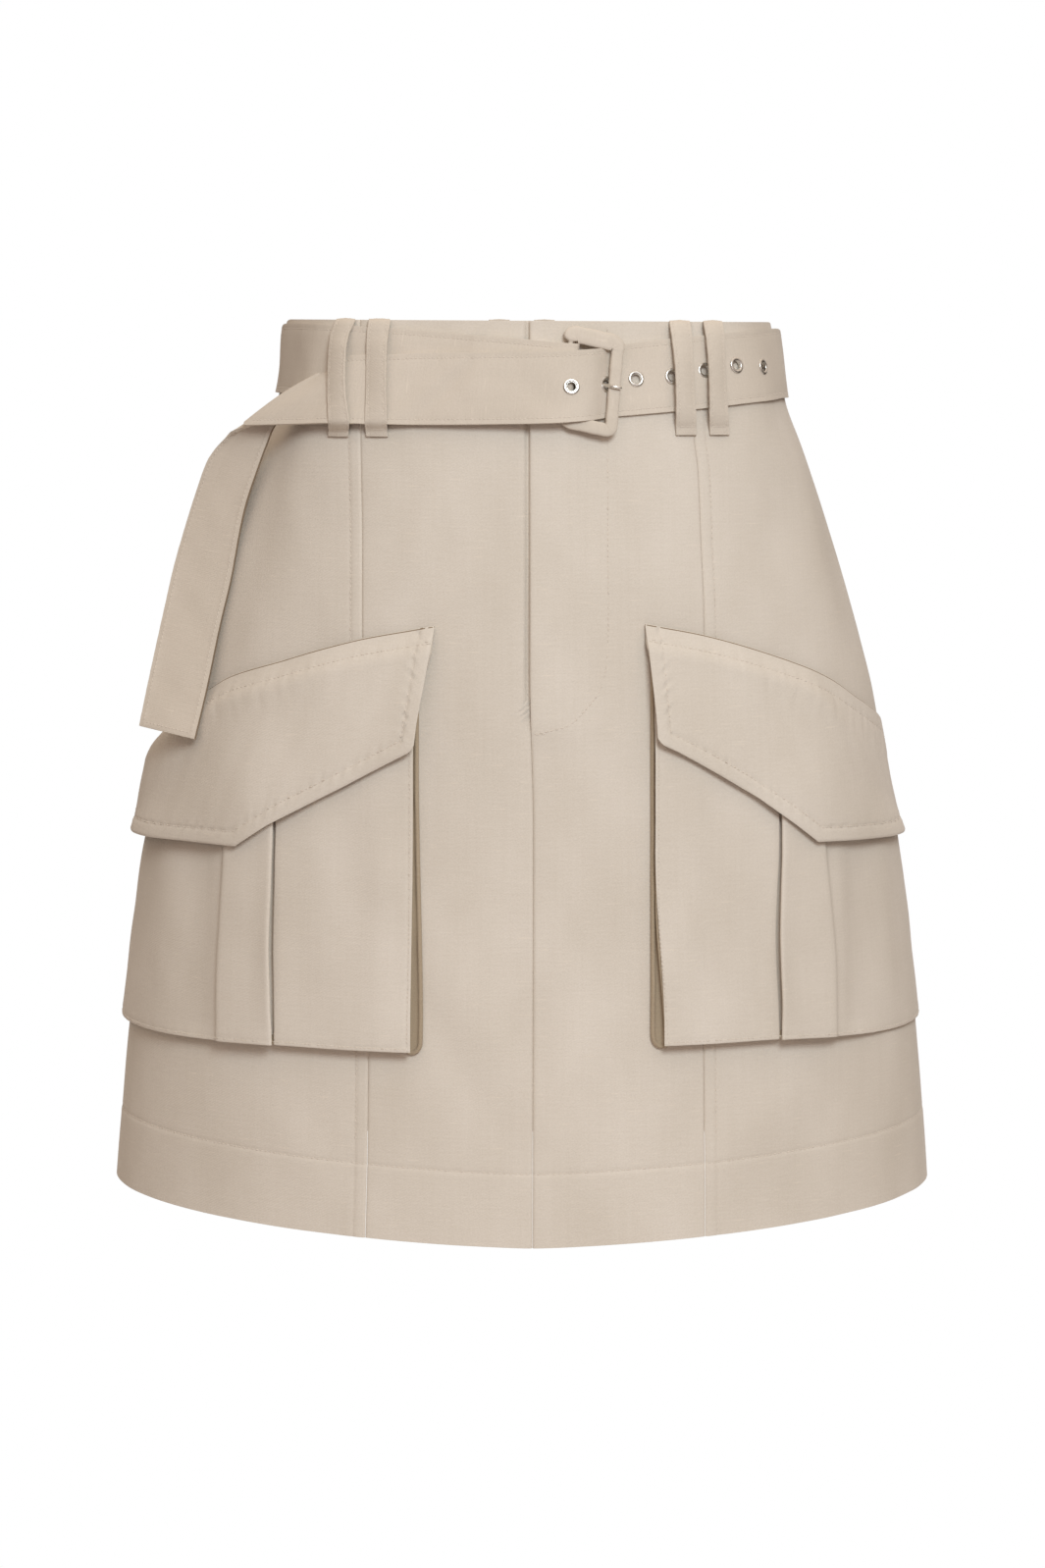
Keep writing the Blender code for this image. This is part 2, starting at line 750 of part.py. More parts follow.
def fold_lines():
    """Edges of the belt from its last loop, round the slanted fold and down the tail."""
    top, bottom = Vector(FOLD_TOP) * MM, Vector(FOLD_BOTTOM) * MM
    last = cross_line(*BELT_STRAP[-1])
    lines = []
    for part in (0.35, 0.7, 1.0):
        lines.append(spread(last[0].lerp(top, part), last[-1].lerp(bottom, part)))
    axis = (bottom - top).normalized()
    inward = Vector((0.5, math.sqrt(0.75), 0.0))
    inward = (inward - inward.dot(axis) * axis).normalized()
    onward = axis.cross(inward)
    if onward.x > 0:
        onward = -onward
    for k in range(1, 7):
        turn = math.pi * k / 6
        shift = FOLD_RADIUS * ((1 - math.cos(turn)) * inward + math.sin(turn) * onward)
        lines.append(spread(top + shift, bottom + shift))
    knots = [(lines[-1][0], lines[-1][-1])]
    knots += [(Vector(row[:3]) * MM, Vector(row[3:]) * MM) for row in TAIL]
    for k in range(len(knots) - 1):
        before, start, end = knots[max(k - 1, 0)], knots[k], knots[k + 1]
        after = knots[min(k + 2, len(knots) - 1)]
        for t in (0.5, 1.0):
            line = []
            for edge in (0, 1):
                p0, p1, p2, p3 = before[edge], start[edge], end[edge], after[edge]
                point = 2 * p1 + (p2 - p0) * t
                point += (2 * p0 - 5 * p1 + 4 * p2 - p3) * t * t
                point += (3 * p1 - p0 - 3 * p2 + p3) * t ** 3
                line.append(point / 2)
            lines.append(spread(*line))
    return lines


def close_rows(table):
    """A belt table with rows added so that no step is longer than the cloth can bend."""
    rows = [table[0]]
    for start, end in zip(table, table[1:]):
        steps = math.ceil(abs(end[0] - start[0]) / BELT_STEP)
        for k in range(1, steps):
            s = mix(start[0], end[0], k / steps)
            rows.append((s, *(along(table, s, column) for column in (1, 2, 3))))
        rows.append(end)
    return rows


def belt_lines():
    lines = [cross_line(*row) for row in BELT_UNDER]
    lines += pin_lines()
    lines += [cross_line(*row) for row in close_rows(BELT_OVER)]
    start = theta_at(BELT_OVER[-1][0] * MM, BELT_OVER[-1][1] * MM)
    end = theta_at(BELT_STRAP[0][0] * MM, BELT_STRAP[0][1] * MM) - 2 * math.pi
    for k in range(1, BELT_BACK_STEPS):
        part = k / BELT_BACK_STEPS
        theta = mix(start, end, part)
        z = mix(BELT_OVER[-1][1], BELT_STRAP[0][1], smooth(part)) * MM
        heights = [z + BELT_WIDTH * (0.5 - j / BELT_ACROSS) for j in range(BELT_ACROSS + 1)]
        lines.append([ring_point(theta, height, BELT_OVER[-1][2] * MM) for height in heights])
    lines += [cross_line(*row) for row in close_rows(BELT_STRAP)]
    lines += fold_lines()
    return lines


def strap_frame(s):
    """Middle point of the strap at s (mm), with its directions along, up and out."""
    z = along(BELT_STRAP, s, 1) - EYELET_DROP
    step = 1.0
    here = on_skirt(s * MM, z * MM, along(BELT_STRAP, s, 2) * MM)
    right = on_skirt((s + step) * MM, z * MM, along(BELT_STRAP, s + step, 2) * MM)
    left = on_skirt((s - step) * MM, z * MM, along(BELT_STRAP, s - step, 2) * MM)
    above = on_skirt(s * MM, (z + step) * MM, along(BELT_STRAP, s, 2) * MM)
    run = (right - left).normalized()
    out = run.cross((above - here).normalized()).normalized()
    return here, run, out.cross(run), out


def round_ring(frame, radius, height, count):
    here, run, up, out = frame
    ring = []
    for k in range(count):
        turn = 2 * math.pi * k / count
        ring.append(here + radius * (math.cos(turn) * run + math.sin(turn) * up) + height * out)
    return ring


def build_belt():
    belt = ribbon("belt", belt_lines(), BELT_CLOTH, BELT_LOOK)
    for k, s in enumerate(EYELETS):
        frame = strap_frame(s)
        depth = HOLE_DEPTH_OVER_PIN if k == 0 else HOLE_DEPTH
        below = round_ring(frame, HOLE_RADIUS, -depth, EYELET_SPLIT)
        above = round_ring(frame, HOLE_RADIUS, 1.6 * MM, EYELET_SPLIT)
        cutter = tube("hole_cutter_%d" % (k + 1), [below, above], METAL_LOOK, closed=False)
        cutter.hide_render = True
        cutter.display_type = "WIRE"
        cut = belt.modifiers.new("hole_%d" % (k + 1), "BOOLEAN")
        cut.operation = "DIFFERENCE"
        cut.solver = "EXACT"
        cut.object = cutter
        rings = []
        for turn in range(EYELET_SPLIT):
            angle = 2 * math.pi * turn / EYELET_SPLIT
            here, run, up, out = frame
            arm = math.cos(angle) * run + math.sin(angle) * up
            rings.append([here + r * MM * arm + h * MM * out for r, h in EYELET_SECTION])
        tube("eyelet_%d" % (k + 1), rings, METAL_LOOK, closed=True)


def buckle_place(u, v, n):
    """Point of the buckle from its own flat coordinates."""
    cos, sin = math.cos(BUCKLE_TURN), math.sin(BUCKLE_TURN)
    return on_skirt(BUCKLE_S + u * cos + v * sin, BUCKLE_Z - u * sin + v * cos, n)


def buckle_path():
    """Middle line of the frame: place, direction out from its centre, covered or bare."""
    half_u, half_v = BUCKLE_HALF
    corner = 4.5 * MM
    bare = 18.6 * MM
    path = [(-half_u, v, -1.0, 0.0, True) for v in (bare, 0.0, -bare)]
    path.append((-half_u, -bare - 0.7 * MM, -1.0, 0.0, False))
    for sign_u, sign_v, start in ((-1, -1, 180), (1, -1, 270), (1, 1, 0), (-1, 1, 90)):
        centre_u = sign_u * (half_u - corner)
        centre_v = sign_v * (half_v - corner)
        for k in range(5):
            turn = math.radians(start + 22.5 * k)
            out = (math.cos(turn), math.sin(turn))
            u = centre_u + corner * out[0]
            v = centre_v + corner * out[1]
            if sign_u < 0 and abs(v) < bare + 0.7 * MM:
                v = sign_v * (bare + 0.7 * MM + (abs(v) - 17.5 * MM) * 0.02)
                continue
            path.append((u, v, out[0], out[1], False))
    path.append((-half_u, bare + 0.7 * MM, -1.0, 0.0, False))
    return path


def build_buckle():
    rings = []
    for u, v, out_u, out_v, bare in buckle_path():
        half_width, half_depth = (PIN_RADIUS, PIN_RADIUS) if bare else BUCKLE_BAR
        middle = mix(5.0, 5.6, (u / BUCKLE_HALF[0] + 1) / 2) * MM
        ring = []
        for k in range(10):
            turn = 2 * math.pi * (k + 0.5) / 10
            power = 1.0 if bare else 0.7
            side = math.copysign(abs(math.cos(turn)) ** power, math.cos(turn)) * half_width
            rise = math.copysign(abs(math.sin(turn)) ** power, math.sin(turn)) * half_depth
            ring.append(buckle_place(u + side * out_u, v + side * out_v, middle + rise))
        rings.append(ring)
    tube("buckle_frame", rings, BELT_LOOK, closed=True)


def build_prong():
    rings = []
    last = len(PRONG_PATH) - 1
    points = [on_skirt(s * MM, PRONG_Z, n * MM) for s, n in PRONG_PATH]
    for k, point in enumerate(points):
        run = (points[min(k + 1, last)] - points[max(k - 1, 0)]).normalized()
        side = Vector((0.0, 0.0, 1.0))
        up = run.cross(side).normalized()
        radius = PRONG_RADIUS * (0.8 if k == last else 1.0)
        ring = []
        for step in range(8):
            turn = 2 * math.pi * step / 8
            ring.append(point + radius * (math.cos(turn) * side + math.sin(turn) * up))
        rings.append(ring)
    tube("buckle_prong", rings, METAL_LOOK, closed=False)


def build_loop(name, place, profile):
    """Strap over the belt; place gives the cloth distance for each part of its length."""
    rows = []
    for z, n in profile:
        part = min(1.0, max(0.0, -z / 57.0))
        middle = place(part, z * MM)
        row = []
        for across in (-0.5, 0.0, 0.5):
            s = middle + across * LOOP_WIDTH
            row.append(on_skirt(s, z * MM, n * MM))
        rows.append(row)
    ribbon(name, rows, LOOP_CLOTH, BELT_LOOK)


def build_loops():
    for name, (top, foot) in LOOPS.items():
        profile = LOOP_PROFILES[name]
        build_loop(name, lambda part, z, a=top, b=foot: mix(a, b, part) * MM, profile)
    for name, side in (("belt_loop_back_left", 1), ("belt_loop_back_right", -1)):
        build_loop(
            name,
            lambda part, z, k=side: k * (arc_at(math.pi, z) - BACK_LOOP_OFFSET * MM),
            LOOP_OVER_ONE,
        )


# ---------------------------------------------------------------- the whole skirt
for existing in list(bpy.data.objects):
    bpy.data.objects.remove(existing, do_unlink=True)

build_panels()
for side, word in ((1, "left"), (-1, "right")):
    build_pocket_face("pocket_face_" + word, side)
    build_gusset("pocket_gusset_" + word, side)
    build_flap("pocket_flap_" + word, side)
build_belt()
build_buckle()
build_prong()
build_loops()
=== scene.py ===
# %% [markdown]
# # A cargo skirt, sewn piece by piece
# The object is a short A-line skirt in stone-coloured cotton twill, with two bellows pockets and
# its own belt. It hangs open and filled out, as on a form that isn't there. Each piece of cloth
# is made as a maker would: cut flat, laid on the body's form, then given its thickness.

# %% Load the fixed frame
import math

import bpy
import numpy as np
from mathutils import Matrix, Vector


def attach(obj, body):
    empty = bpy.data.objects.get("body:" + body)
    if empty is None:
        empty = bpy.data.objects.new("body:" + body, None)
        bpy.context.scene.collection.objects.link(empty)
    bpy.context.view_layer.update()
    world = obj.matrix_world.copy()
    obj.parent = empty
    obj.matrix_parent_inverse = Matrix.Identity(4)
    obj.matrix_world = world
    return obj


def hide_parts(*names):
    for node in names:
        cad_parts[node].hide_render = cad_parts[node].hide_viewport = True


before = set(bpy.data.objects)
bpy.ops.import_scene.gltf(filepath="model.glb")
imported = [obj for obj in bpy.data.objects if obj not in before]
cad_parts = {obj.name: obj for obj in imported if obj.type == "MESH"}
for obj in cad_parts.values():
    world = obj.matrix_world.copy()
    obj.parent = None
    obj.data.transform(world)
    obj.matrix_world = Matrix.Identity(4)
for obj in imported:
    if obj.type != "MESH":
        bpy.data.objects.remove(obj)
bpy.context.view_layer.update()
bpy.ops.object.select_all(action="DESELECT")
MM = 0.001
print("the frame has", len(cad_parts), "nodes")

# %% [markdown]
# ## The form under the cloth
# Skirts are drawn with two cloth coordinates in millimetres: s, the distance round the body from
# the centre front, and z, the height under the waist. A third, n, is how far a layer stands off.
# One table gives the body's oval at each height; everything else is laid on that form.

# %% The body's oval at each height
BODY = (
    # z     half width  front  back
    (0, 124.5, 87.5, 86.0),
    (-25, 130.0, 92.6, 93.0),
    (-50, 136.8, 97.8, 101.0),
    (-75, 145.5, 102.8, 109.0),
    (-100, 154.0, 107.3, 116.5),
    (-130, 163.4, 112.6, 126.0),
    (-160, 172.0, 117.0, 134.0),
    (-190, 179.8, 121.0, 139.5),
    (-240, 188.0, 127.0, 144.5),
    (-300, 197.0, 134.0, 148.0),
    (-370, 205.3, 141.5, 151.0),
    (-455, 212.4, 149.5, 154.0),
)
LENGTH, HEM_RISE, HEM_DEPTH = 450.5, 9.3, 36.0
PINCH_LEFT, PINCH_RIGHT = 1.5, 6.4  # how far the belt draws each side in
SIDE = math.pi / 2


def bend(t, start, end, rise, fall):
    """A smooth curve from start to end with these slopes; t runs from 0 to 1."""
    first, last = 2 * t**3 - 3 * t**2 + 1, 3 * t**2 - 2 * t**3
    return first * start + (t**3 - 2 * t**2 + t) * rise + last * end + (t**3 - t**2) * fall


def curve(table, x, column=1):
    """Read a table's column at x from a smooth curve through its rows."""
    rows = np.array(sorted(table), float)
    known, values = rows[:, 0], rows[:, column]
    x = np.clip(x, known[0], known[-1])
    low = np.clip(np.searchsorted(known, x) - 1, 0, len(known) - 2)
    before, after = np.maximum(low - 1, 0), np.minimum(low + 2, len(known) - 1)
    span = known[low + 1] - known[low]
    t = (x - known[low]) / span
    rise = span * (values[low + 1] - values[before]) / (known[low + 1] - known[before])
    fall = span * (values[after] - values[low]) / (known[after] - known[low])
    return bend(t, values[low], values[low + 1], rise, fall)


def mix(a, b, t):
    return a + (b - a) * t


def smooth(t):
    t = np.clip(t, 0, 1)
    return t * t * (3 - 2 * t)


def belt_pinch(turn, z):
    """The belt draws the sides in, most on the wearer's right, where its end pulls."""
    side = np.sin(turn)
    right = PINCH_RIGHT * np.exp(-(((z + 42) / 34) ** 2))
    left = PINCH_LEFT * np.exp(-(((z + 42) / 14) ** 2))
    return np.sign(side) * np.where(side < 0, right, left) * smooth((np.abs(side) - 0.78) / 0.22)


def side_flat(turn, z):
    """Near the waist the body turns to each side in a soft corner, flatter on both sides of it."""
    front = np.abs(np.mod(np.asarray(turn) + math.pi, 2 * math.pi) - math.pi)
    corner = np.where(np.sin(turn) < 0, 0.84, 0.92)
    bump = smooth((front - corner + 0.45) / 0.45) * (1 - smooth((front - corner) / 0.42))
    return -4.2 * bump * (1 - smooth((-z - 45) / 70))


def corner_dip(turn, z):
    """The top edges dip a little where they turn to the back."""
    near = np.clip((np.abs(np.sin(turn)) - 0.978) / 0.022, 0, 1)
    return 2.4 * (1 - np.sqrt(1 - 0.98 * near**2)) * (1 - smooth(-z / 16))


def ring(turn, z, n):
    """Points at an angle round the body, n outside it."""
    turn, z, n = np.broadcast_arrays(*(np.asarray(v, float) for v in (turn, z, n)))
    width, front, back = (curve(BODY, z, k) for k in (1, 2, 3))
    depth = np.where(np.cos(turn) >= 0, front, back)
    nx, ny = np.sin(turn) / width, -np.cos(turn) / depth
    size = np.hypot(nx, ny)
    across = width * np.sin(turn) - belt_pinch(turn, z)
    out = n - side_flat(turn, z)
    y = out * ny / size - depth * np.cos(turn)
    return np.stack([across + out * nx / size, y, z - corner_dip(turn, z)], -1)


LEVELS = np.arange(-462.0, 8.0)
TURNS = np.linspace(0, 1.05 * math.pi, 379)
around = ring(TURNS[None], LEVELS[:, None], 0)
steps = np.linalg.norm(np.diff(around, axis=1), axis=2)
ARCS = np.concatenate([np.zeros((len(LEVELS), 1)), np.cumsum(steps, 1)], 1)
SPANS = np.arange(0.0, 640.0)
TURN_AT = np.array([np.interp(SPANS, arcs, TURNS) for arcs in ARCS])


def between_cells(table, row, column):
    """Read a table between its entries, at a row and column that may be fractions."""
    row = np.clip(row, 0, table.shape[0] - 1.001)
    column = np.clip(column, 0, table.shape[1] - 1.001)
    i, j = row.astype(int), column.astype(int)
    a, b = row - i, column - j
    if table.ndim > 2:
        a, b = a[..., None], b[..., None]
    low = table[i, j] * (1 - b) + table[i, j + 1] * b
    high = table[i + 1, j] * (1 - b) + table[i + 1, j + 1] * b
    return low * (1 - a) + high * a


def look_up(table, z, place):
    """Read a table of rows by height."""
    z, place = np.broadcast_arrays(np.asarray(z, float), np.asarray(place, float))
    return between_cells(table, z - LEVELS[0], place)


def arc_at(turn, z):
    return np.sign(turn) * look_up(ARCS, z, np.abs(turn) / TURNS[1])


def arc_round(turn, z):
    """The distance for any angle up to a full turn, counted on past the centre back."""
    beyond = 2 * arc_at(math.pi, z) - arc_at(2 * math.pi - np.maximum(turn, math.pi), z)
    return np.where(turn <= math.pi, arc_at(np.minimum(turn, math.pi), z), beyond)


def turn_at(s, z):
    return np.sign(s) * look_up(TURN_AT, z, np.abs(s))


def on_skirt(s, z, n):
    return ring(turn_at(s, z), z, n)


def hem_at(turn):
    return -LENGTH + HEM_RISE * np.abs(np.sin(turn)) ** 1.2


rounds = 2 * arc_at(math.pi, 0), 2 * arc_at(math.pi, -448)
print("round the waist %.0f mm, round the hem %.0f mm" % rounds)

# %% [markdown]
# ## Wrinkles
# Pressed twill stays almost flat. What shows is small: a furrow where a thread pulls the layers
# together, short puckers beside it, and a few soft creases. They are written as heights in mm.


# %% Furrows, puckers and soft creases
def ripple(x, length, phase=0.0):
    """Uneven wave of about that length, between -1 and 1."""
    x = np.asarray(x, float) * 2 * math.pi / length
    second = 0.7 * np.sin(1.63 * x + 2.1 * phase + 1)
    third = 0.5 * np.sin(2.71 * x + 3.3 * phase + 2)
    return (np.sin(x + phase) + second + third) / 2.2


def furrow(distance, along_line, phase=0.0, depth=0.28, pucker=0.16, length=9.0, reach=3.2):
    """Height beside a row of stitches: a pulled-in line with puckers across it."""
    pull = -depth * np.exp(-((distance / 0.9) ** 2))
    waves = pucker * ripple(along_line, length, phase) * np.exp(-((distance / reach) ** 2))
    return pull + waves * (1 + 0.5 * ripple(along_line, 47, phase + 1))


CREASES = (
    # s     z     half length  half width  lean (degrees from upright)  height
    (-52, -128, 34, 9, 24, -0.55),
    (-60, -112, 30, 8, 20, 0.40),
    (-30, -335, 60, 12, -32, 0.55),
    (-45, -352, 52, 10, -34, -0.45),
    (28, -372, 52, 12, 36, -0.50),
    (42, -352, 56, 12, 34, 0.45),
    (-12, -300, 80, 15, -8, -0.45),
    (14, -262, 60, 14, 10, 0.40),
    (-120, -395, 30, 14, -52, 0.55),
    (-100, -405, 34, 11, -48, -0.50),
    (110, -398, 40, 13, 50, 0.50),
    (150, -402, 34, 14, 30, -0.45),
    (-150, -105, 60, 13, 14, -0.60),
    (-170, -125, 60, 14, 10, 0.50),
    (165, -110, 70, 16, -12, 0.50),
    (190, -120, 60, 13, -9, -0.50),
    (60, -95, 45, 14, -30, 0.35),
    (300, -180, 120, 20, -6, 0.8),
    (-310, -190, 120, 22, 5, 0.8),
    (360, -260, 110, 20, -9, -0.8),
    (-370, -250, 120, 20, 8, -0.8),
    (430, -150, 70, 18, 12, -0.6),
    (-430, -160, 70, 18, -12, -0.6),
    (330, -360, 60, 22, 20, 0.7),
    (-340, -370, 60, 22, -22, 0.7),
)
CREASE_STRENGTH = 1.7


def drape(s, z):
    """Soft creases over the whole skirt; none under the belt."""
    total = np.zeros(np.broadcast(s, z).shape)
    for s0, z0, half_length, half_width, lean, height in CREASES:
        c, d = math.cos(math.radians(lean)), math.sin(math.radians(lean))
        up, across = (z - z0) * c + (s - s0) * d, (s - s0) * c - (z - z0) * d
        total += height * np.exp(-((up / half_length) ** 2) - (across / half_width) ** 2)
    uneven = 0.4 * ripple(s + 0.25 * z, 71, 0.4) * ripple(z - 0.2 * s, 120, 1.7)
    return (total * CREASE_STRENGTH + uneven) * smooth((-52 - z) / 25)


# %% [markdown]
# ## Cloth from a flat grid
# A piece of cloth starts as Blender's grid, flat and square like the cut piece. Its points are
# moved onto the form, its UV map keeps the flat cloth's own millimetres for the weave, Solidify
# gives the wall and Bevel rounds the cut or folded edges.


# %% Helpers that lay a grid and finish a piece
# edges sharper than the first angle are rounded, edges sharper than the second show as edges
ROUNDED_OVER, SHADED_OVER = math.radians(62), math.radians(50)


def clean_add(adder, **how):
    bpy.ops.object.select_all(action="DESELECT")
    adder(**how)
    return bpy.context.object


def name_piece(piece, name, finish, stands_for=()):
    """Name a finished piece, dress it, and tie it to the skirt."""
    piece.name = piece.data.name = name
    piece.data.materials.clear()
    piece.data.materials.append(finish)
    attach(piece, "root")
    if stands_for:
        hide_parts(*stands_for)
    return piece


def apply(piece, kind, **settings):
    modifier = piece.modifiers.new(kind.lower(), kind)
    for key, value in settings.items():
        setattr(modifier, key, value)
    bpy.context.view_layer.objects.active = piece
    bpy.ops.object.modifier_apply(modifier=modifier.name)


def lay_grid(points, cloth_uv):
    """A grid primitive whose rows and columns take the given places (mm)."""
    rows, columns = points.shape[:2]
    cells = {"x_subdivisions": columns - 1, "y_subdivisions": rows - 1}
    piece = clean_add(bpy.ops.mesh.primitive_grid_add, size=1, **cells)
    flat = np.zeros(len(piece.data.vertices) * 3)
    piece.data.vertices.foreach_get("co", flat)
    flat = flat.reshape(-1, 3) + 0.5
    i = np.rint(flat[:, 1] * (rows - 1)).astype(int)
    j = np.rint(flat[:, 0] * (columns - 1)).astype(int)
    piece.data.vertices.foreach_set("co", (points[i, j] * MM).ravel())
    corner = np.zeros(len(piece.data.loops), int)
    piece.data.loops.foreach_get("vertex_index", corner)
    uv = cloth_uv[i[corner], j[corner]] * MM
    piece.data.uv_layers[0].data.foreach_set("uv", uv.ravel())
    piece.data.update()
    return piece


def give_wall(piece, wall, offset=-1.0, bevel=0.35, group=""):
    """Give a sheet its wall in mm and round its edges by a share of it."""
    how = {"offset": offset, "use_even_offset": False, "vertex_group": group}
    apply(piece, "SOLIDIFY", thickness=wall * MM, **how)
    limit = {"limit_method": "ANGLE", "angle_limit": ROUNDED_OVER}
    apply(piece, "BEVEL", width=bevel * wall * MM, segments=2, **limit)
    bpy.ops.object.select_all(action="DESELECT")
    piece.select_set(True)
    bpy.context.view_layer.objects.active = piece
    bpy.ops.object.shade_smooth_by_angle(angle=SHADED_OVER)
    return piece


def lines_across(near, count, far):
    """Lines across a piece: close ones by each edge (mm from it) and even ones between."""
    t = np.linspace(0, 1, count + 2)[1:-1]
    near, far = np.array(near, float), np.array(far, float)
    share = np.concatenate([0 * near, t, 0 * far + 1])
    extra = np.concatenate([near, near[-1] * (1 - t) - far[-1] * t, -far[::-1]])
    return share, extra


# %% [markdown]
# ## Finishes
# The cloth is cotton twill: matt, with a fine diagonal rib, and short thick places in the yarn
# that show as pale dashes. The rib of the real cloth is under half a millimetre, too fine to
# show, so it is drawn at 1.1 mm. All patterns read the piece's own UV map, in metres of cloth.


# %% Colours and one function that adds a node
def linear(code):
    """sRGB hex to the linear colour that shaders use."""
    values = [int(code[k : k + 2], 16) / 255 for k in (1, 3, 5)]
    return (*[v / 12.92 if v <= 0.04045 else ((v + 0.055) / 1.055) ** 2.4 for v in values], 1.0)


def node(tree, kind, links=(), inputs=(), **settings):
    made = tree.nodes.new(kind)
    for key, value in settings.items():
        setattr(made, key, value)
    for key, value in dict(inputs).items():
        made.inputs[key].default_value = value
    for key, source in dict(links).items():
        tree.links.new(source, made.inputs[key])
    return made


def start_finish(name, roughness, metallic=0.0, sheen=0.0):
    finish = bpy.data.materials.new(name)
    finish.use_nodes = True
    shader = finish.node_tree.nodes["Principled BSDF"]
    shader.inputs["Roughness"].default_value = roughness
    shader.inputs["Metallic"].default_value = metallic
    shader.inputs["Sheen Weight"].default_value = sheen
    shader.inputs["Sheen Roughness"].default_value = 0.5
    return finish, finish.node_tree, shader


# %% Cotton twill
TWILL_RIB = 1.1  # mm between ribs


def twill(name, dark, light, slub="#E2D6C6"):
    finish, tree, shader = start_finish(name, 0.86, sheen=0.12)
    shader.inputs["Specular IOR Level"].default_value = 0.25
    uv = node(tree, "ShaderNodeUVMap").outputs["UV"]

    def noise(along_weft, along_warp, detail=2.0, rough=0.5):
        """Noise stretched to these lengths in mm across and along the warp."""
        size = (1 / (along_weft * MM), 1 / (along_warp * MM), 1.0)
        placed = node(tree, "ShaderNodeMapping", {"Vector": uv}, {"Scale": size})
        how = {"Scale": 1.0, "Detail": detail, "Roughness": rough}
        return node(tree, "ShaderNodeTexNoise", {"Vector": placed.outputs["Vector"]}, how).outputs["Fac"]

    def ramp(source, low, high, start=0.0, end=1.0):
        limits = {"From Min": low, "From Max": high, "To Min": start, "To Max": end}
        return node(tree, "ShaderNodeMapRange", {"Value": source}, limits).outputs["Result"]

    def math_node(operation, first, second):
        made = node(tree, "ShaderNodeMath", operation=operation)
        for k, value in enumerate((first, second)):
            if isinstance(value, float):
                made.inputs[k].default_value = value
            else:
                tree.links.new(value, made.inputs[k])
        return made.outputs["Value"]

    broad = noise(55, 90, 3)
    streaks = noise(2.3, 70, 2)
    weft = noise(14, 1.0, 2)
    grain = noise(1.1, 1.1, 2)
    tone = math_node("ADD", math_node("MULTIPLY", broad, 0.55), math_node("MULTIPLY", streaks, 0.10))
    tone = math_node("ADD", tone, math_node("MULTIPLY", weft, 0.14))
    tone = math_node("ADD", tone, math_node("MULTIPLY", grain, 0.28))
    mixed = node(tree, "ShaderNodeMix", {"Factor": ramp(tone, 0.36, 0.70)}, data_type="RGBA")
    mixed.inputs["A"].default_value = linear(dark)
    mixed.inputs["B"].default_value = linear(light)
    dashes = ramp(noise(11, 1.1, 0), 0.735, 0.82, 0.0, 0.32)
    flecked = node(tree, "ShaderNodeMix", {"Factor": dashes, "A": mixed.outputs["Result"]}, data_type="RGBA")
    flecked.inputs["B"].default_value = linear(slub)
    tree.links.new(flecked.outputs["Result"], shader.inputs["Base Color"])
    rib_scale = 2 * math.pi / 20 / TWILL_RIB / MM
    turned = node(tree, "ShaderNodeMapping", {"Vector": uv}, {"Rotation": (0, 0, math.radians(63))})
    waves = {"Scale": rib_scale, "Distortion": 0.6}
    rib = node(tree, "ShaderNodeTexWave", {"Vector": turned.outputs["Vector"]}, waves)
    ribs = math_node("MULTIPLY", rib.outputs["Fac"], 0.22)
    height = math_node("ADD", ribs, math_node("MULTIPLY", weft, 0.5))
    height = math_node("ADD", height, math_node("MULTIPLY", grain, 0.6))
    lump = node(tree, "ShaderNodeBump", {"Height": height}, {"Strength": 0.5, "Distance": 0.22 * MM})
    tree.links.new(lump.outputs["Normal"], shader.inputs["Normal"])
    return finish


skirt_twill = twill("stone_cotton_twill", "#CAC0B2", "#D9D0C4")
belt_twill = twill("stone_belt_twill", "#C7BCAD", "#D5CABC")
# the pocket's folded strips, and the folded edges that lie in their own shade, are darker: painted shade
strip_painted_shade_twill = twill("stone_strip_painted_shade_twill", "#9F8E77", "#AF9F88", "#B8A992")
fold_painted_shade_twill = twill("stone_fold_painted_shade_twill", "#7C6A56", "#8C7A65", "#96856F")
print("twill rib drawn at", TWILL_RIB, "mm")


# %% Sewing thread and nickel
def thread_finish():
    """Spun polyester thread: a tone paler than the cloth, with a faint gloss."""
    finish, tree, shader = start_finish("stone_sewing_thread", 0.6, sheen=0.2)
    place = node(tree, "ShaderNodeTexCoord").outputs["Object"]
    twist = node(tree, "ShaderNodeTexNoise", {"Vector": place}, {"Scale": 1 / (0.5 * MM), "Detail": 1.0})
    mixed = node(tree, "ShaderNodeMix", {"Factor": twist.outputs["Fac"]}, data_type="RGBA")
    mixed.inputs["A"].default_value = linear("#CBBEAE")
    mixed.inputs["B"].default_value = linear("#DBD1C4")
    tree.links.new(mixed.outputs["Result"], shader.inputs["Base Color"])
    return finish


def nickel_finish():
    """Nickel-plated brass, stamped and tumbled: bright, with faint soft scratches."""
    finish, tree, shader = start_finish("nickel_plate", 0.22, metallic=1.0)
    place = node(tree, "ShaderNodeTexCoord").outputs["Object"]
    worn = node(tree, "ShaderNodeTexNoise", {"Vector": place}, {"Scale": 1 / (1.5 * MM), "Detail": 3.0})
    limits = {"From Min": 0.3, "From Max": 0.7, "To Min": 0.24, "To Max": 0.42}
    rough = node(tree, "ShaderNodeMapRange", {"Value": worn.outputs["Fac"]}, limits)
    tree.links.new(rough.outputs["Result"], shader.inputs["Roughness"])
    mixed = node(tree, "ShaderNodeMix", {"Factor": worn.outputs["Fac"]}, data_type="RGBA")
    mixed.inputs["A"].default_value = linear("#CFCBC4")
    mixed.inputs["B"].default_value = linear("#ECE9E3")
    tree.links.new(mixed.outputs["Result"], shader.inputs["Base Color"])
    return finish


thread = thread_finish()
nickel = nickel_finish()

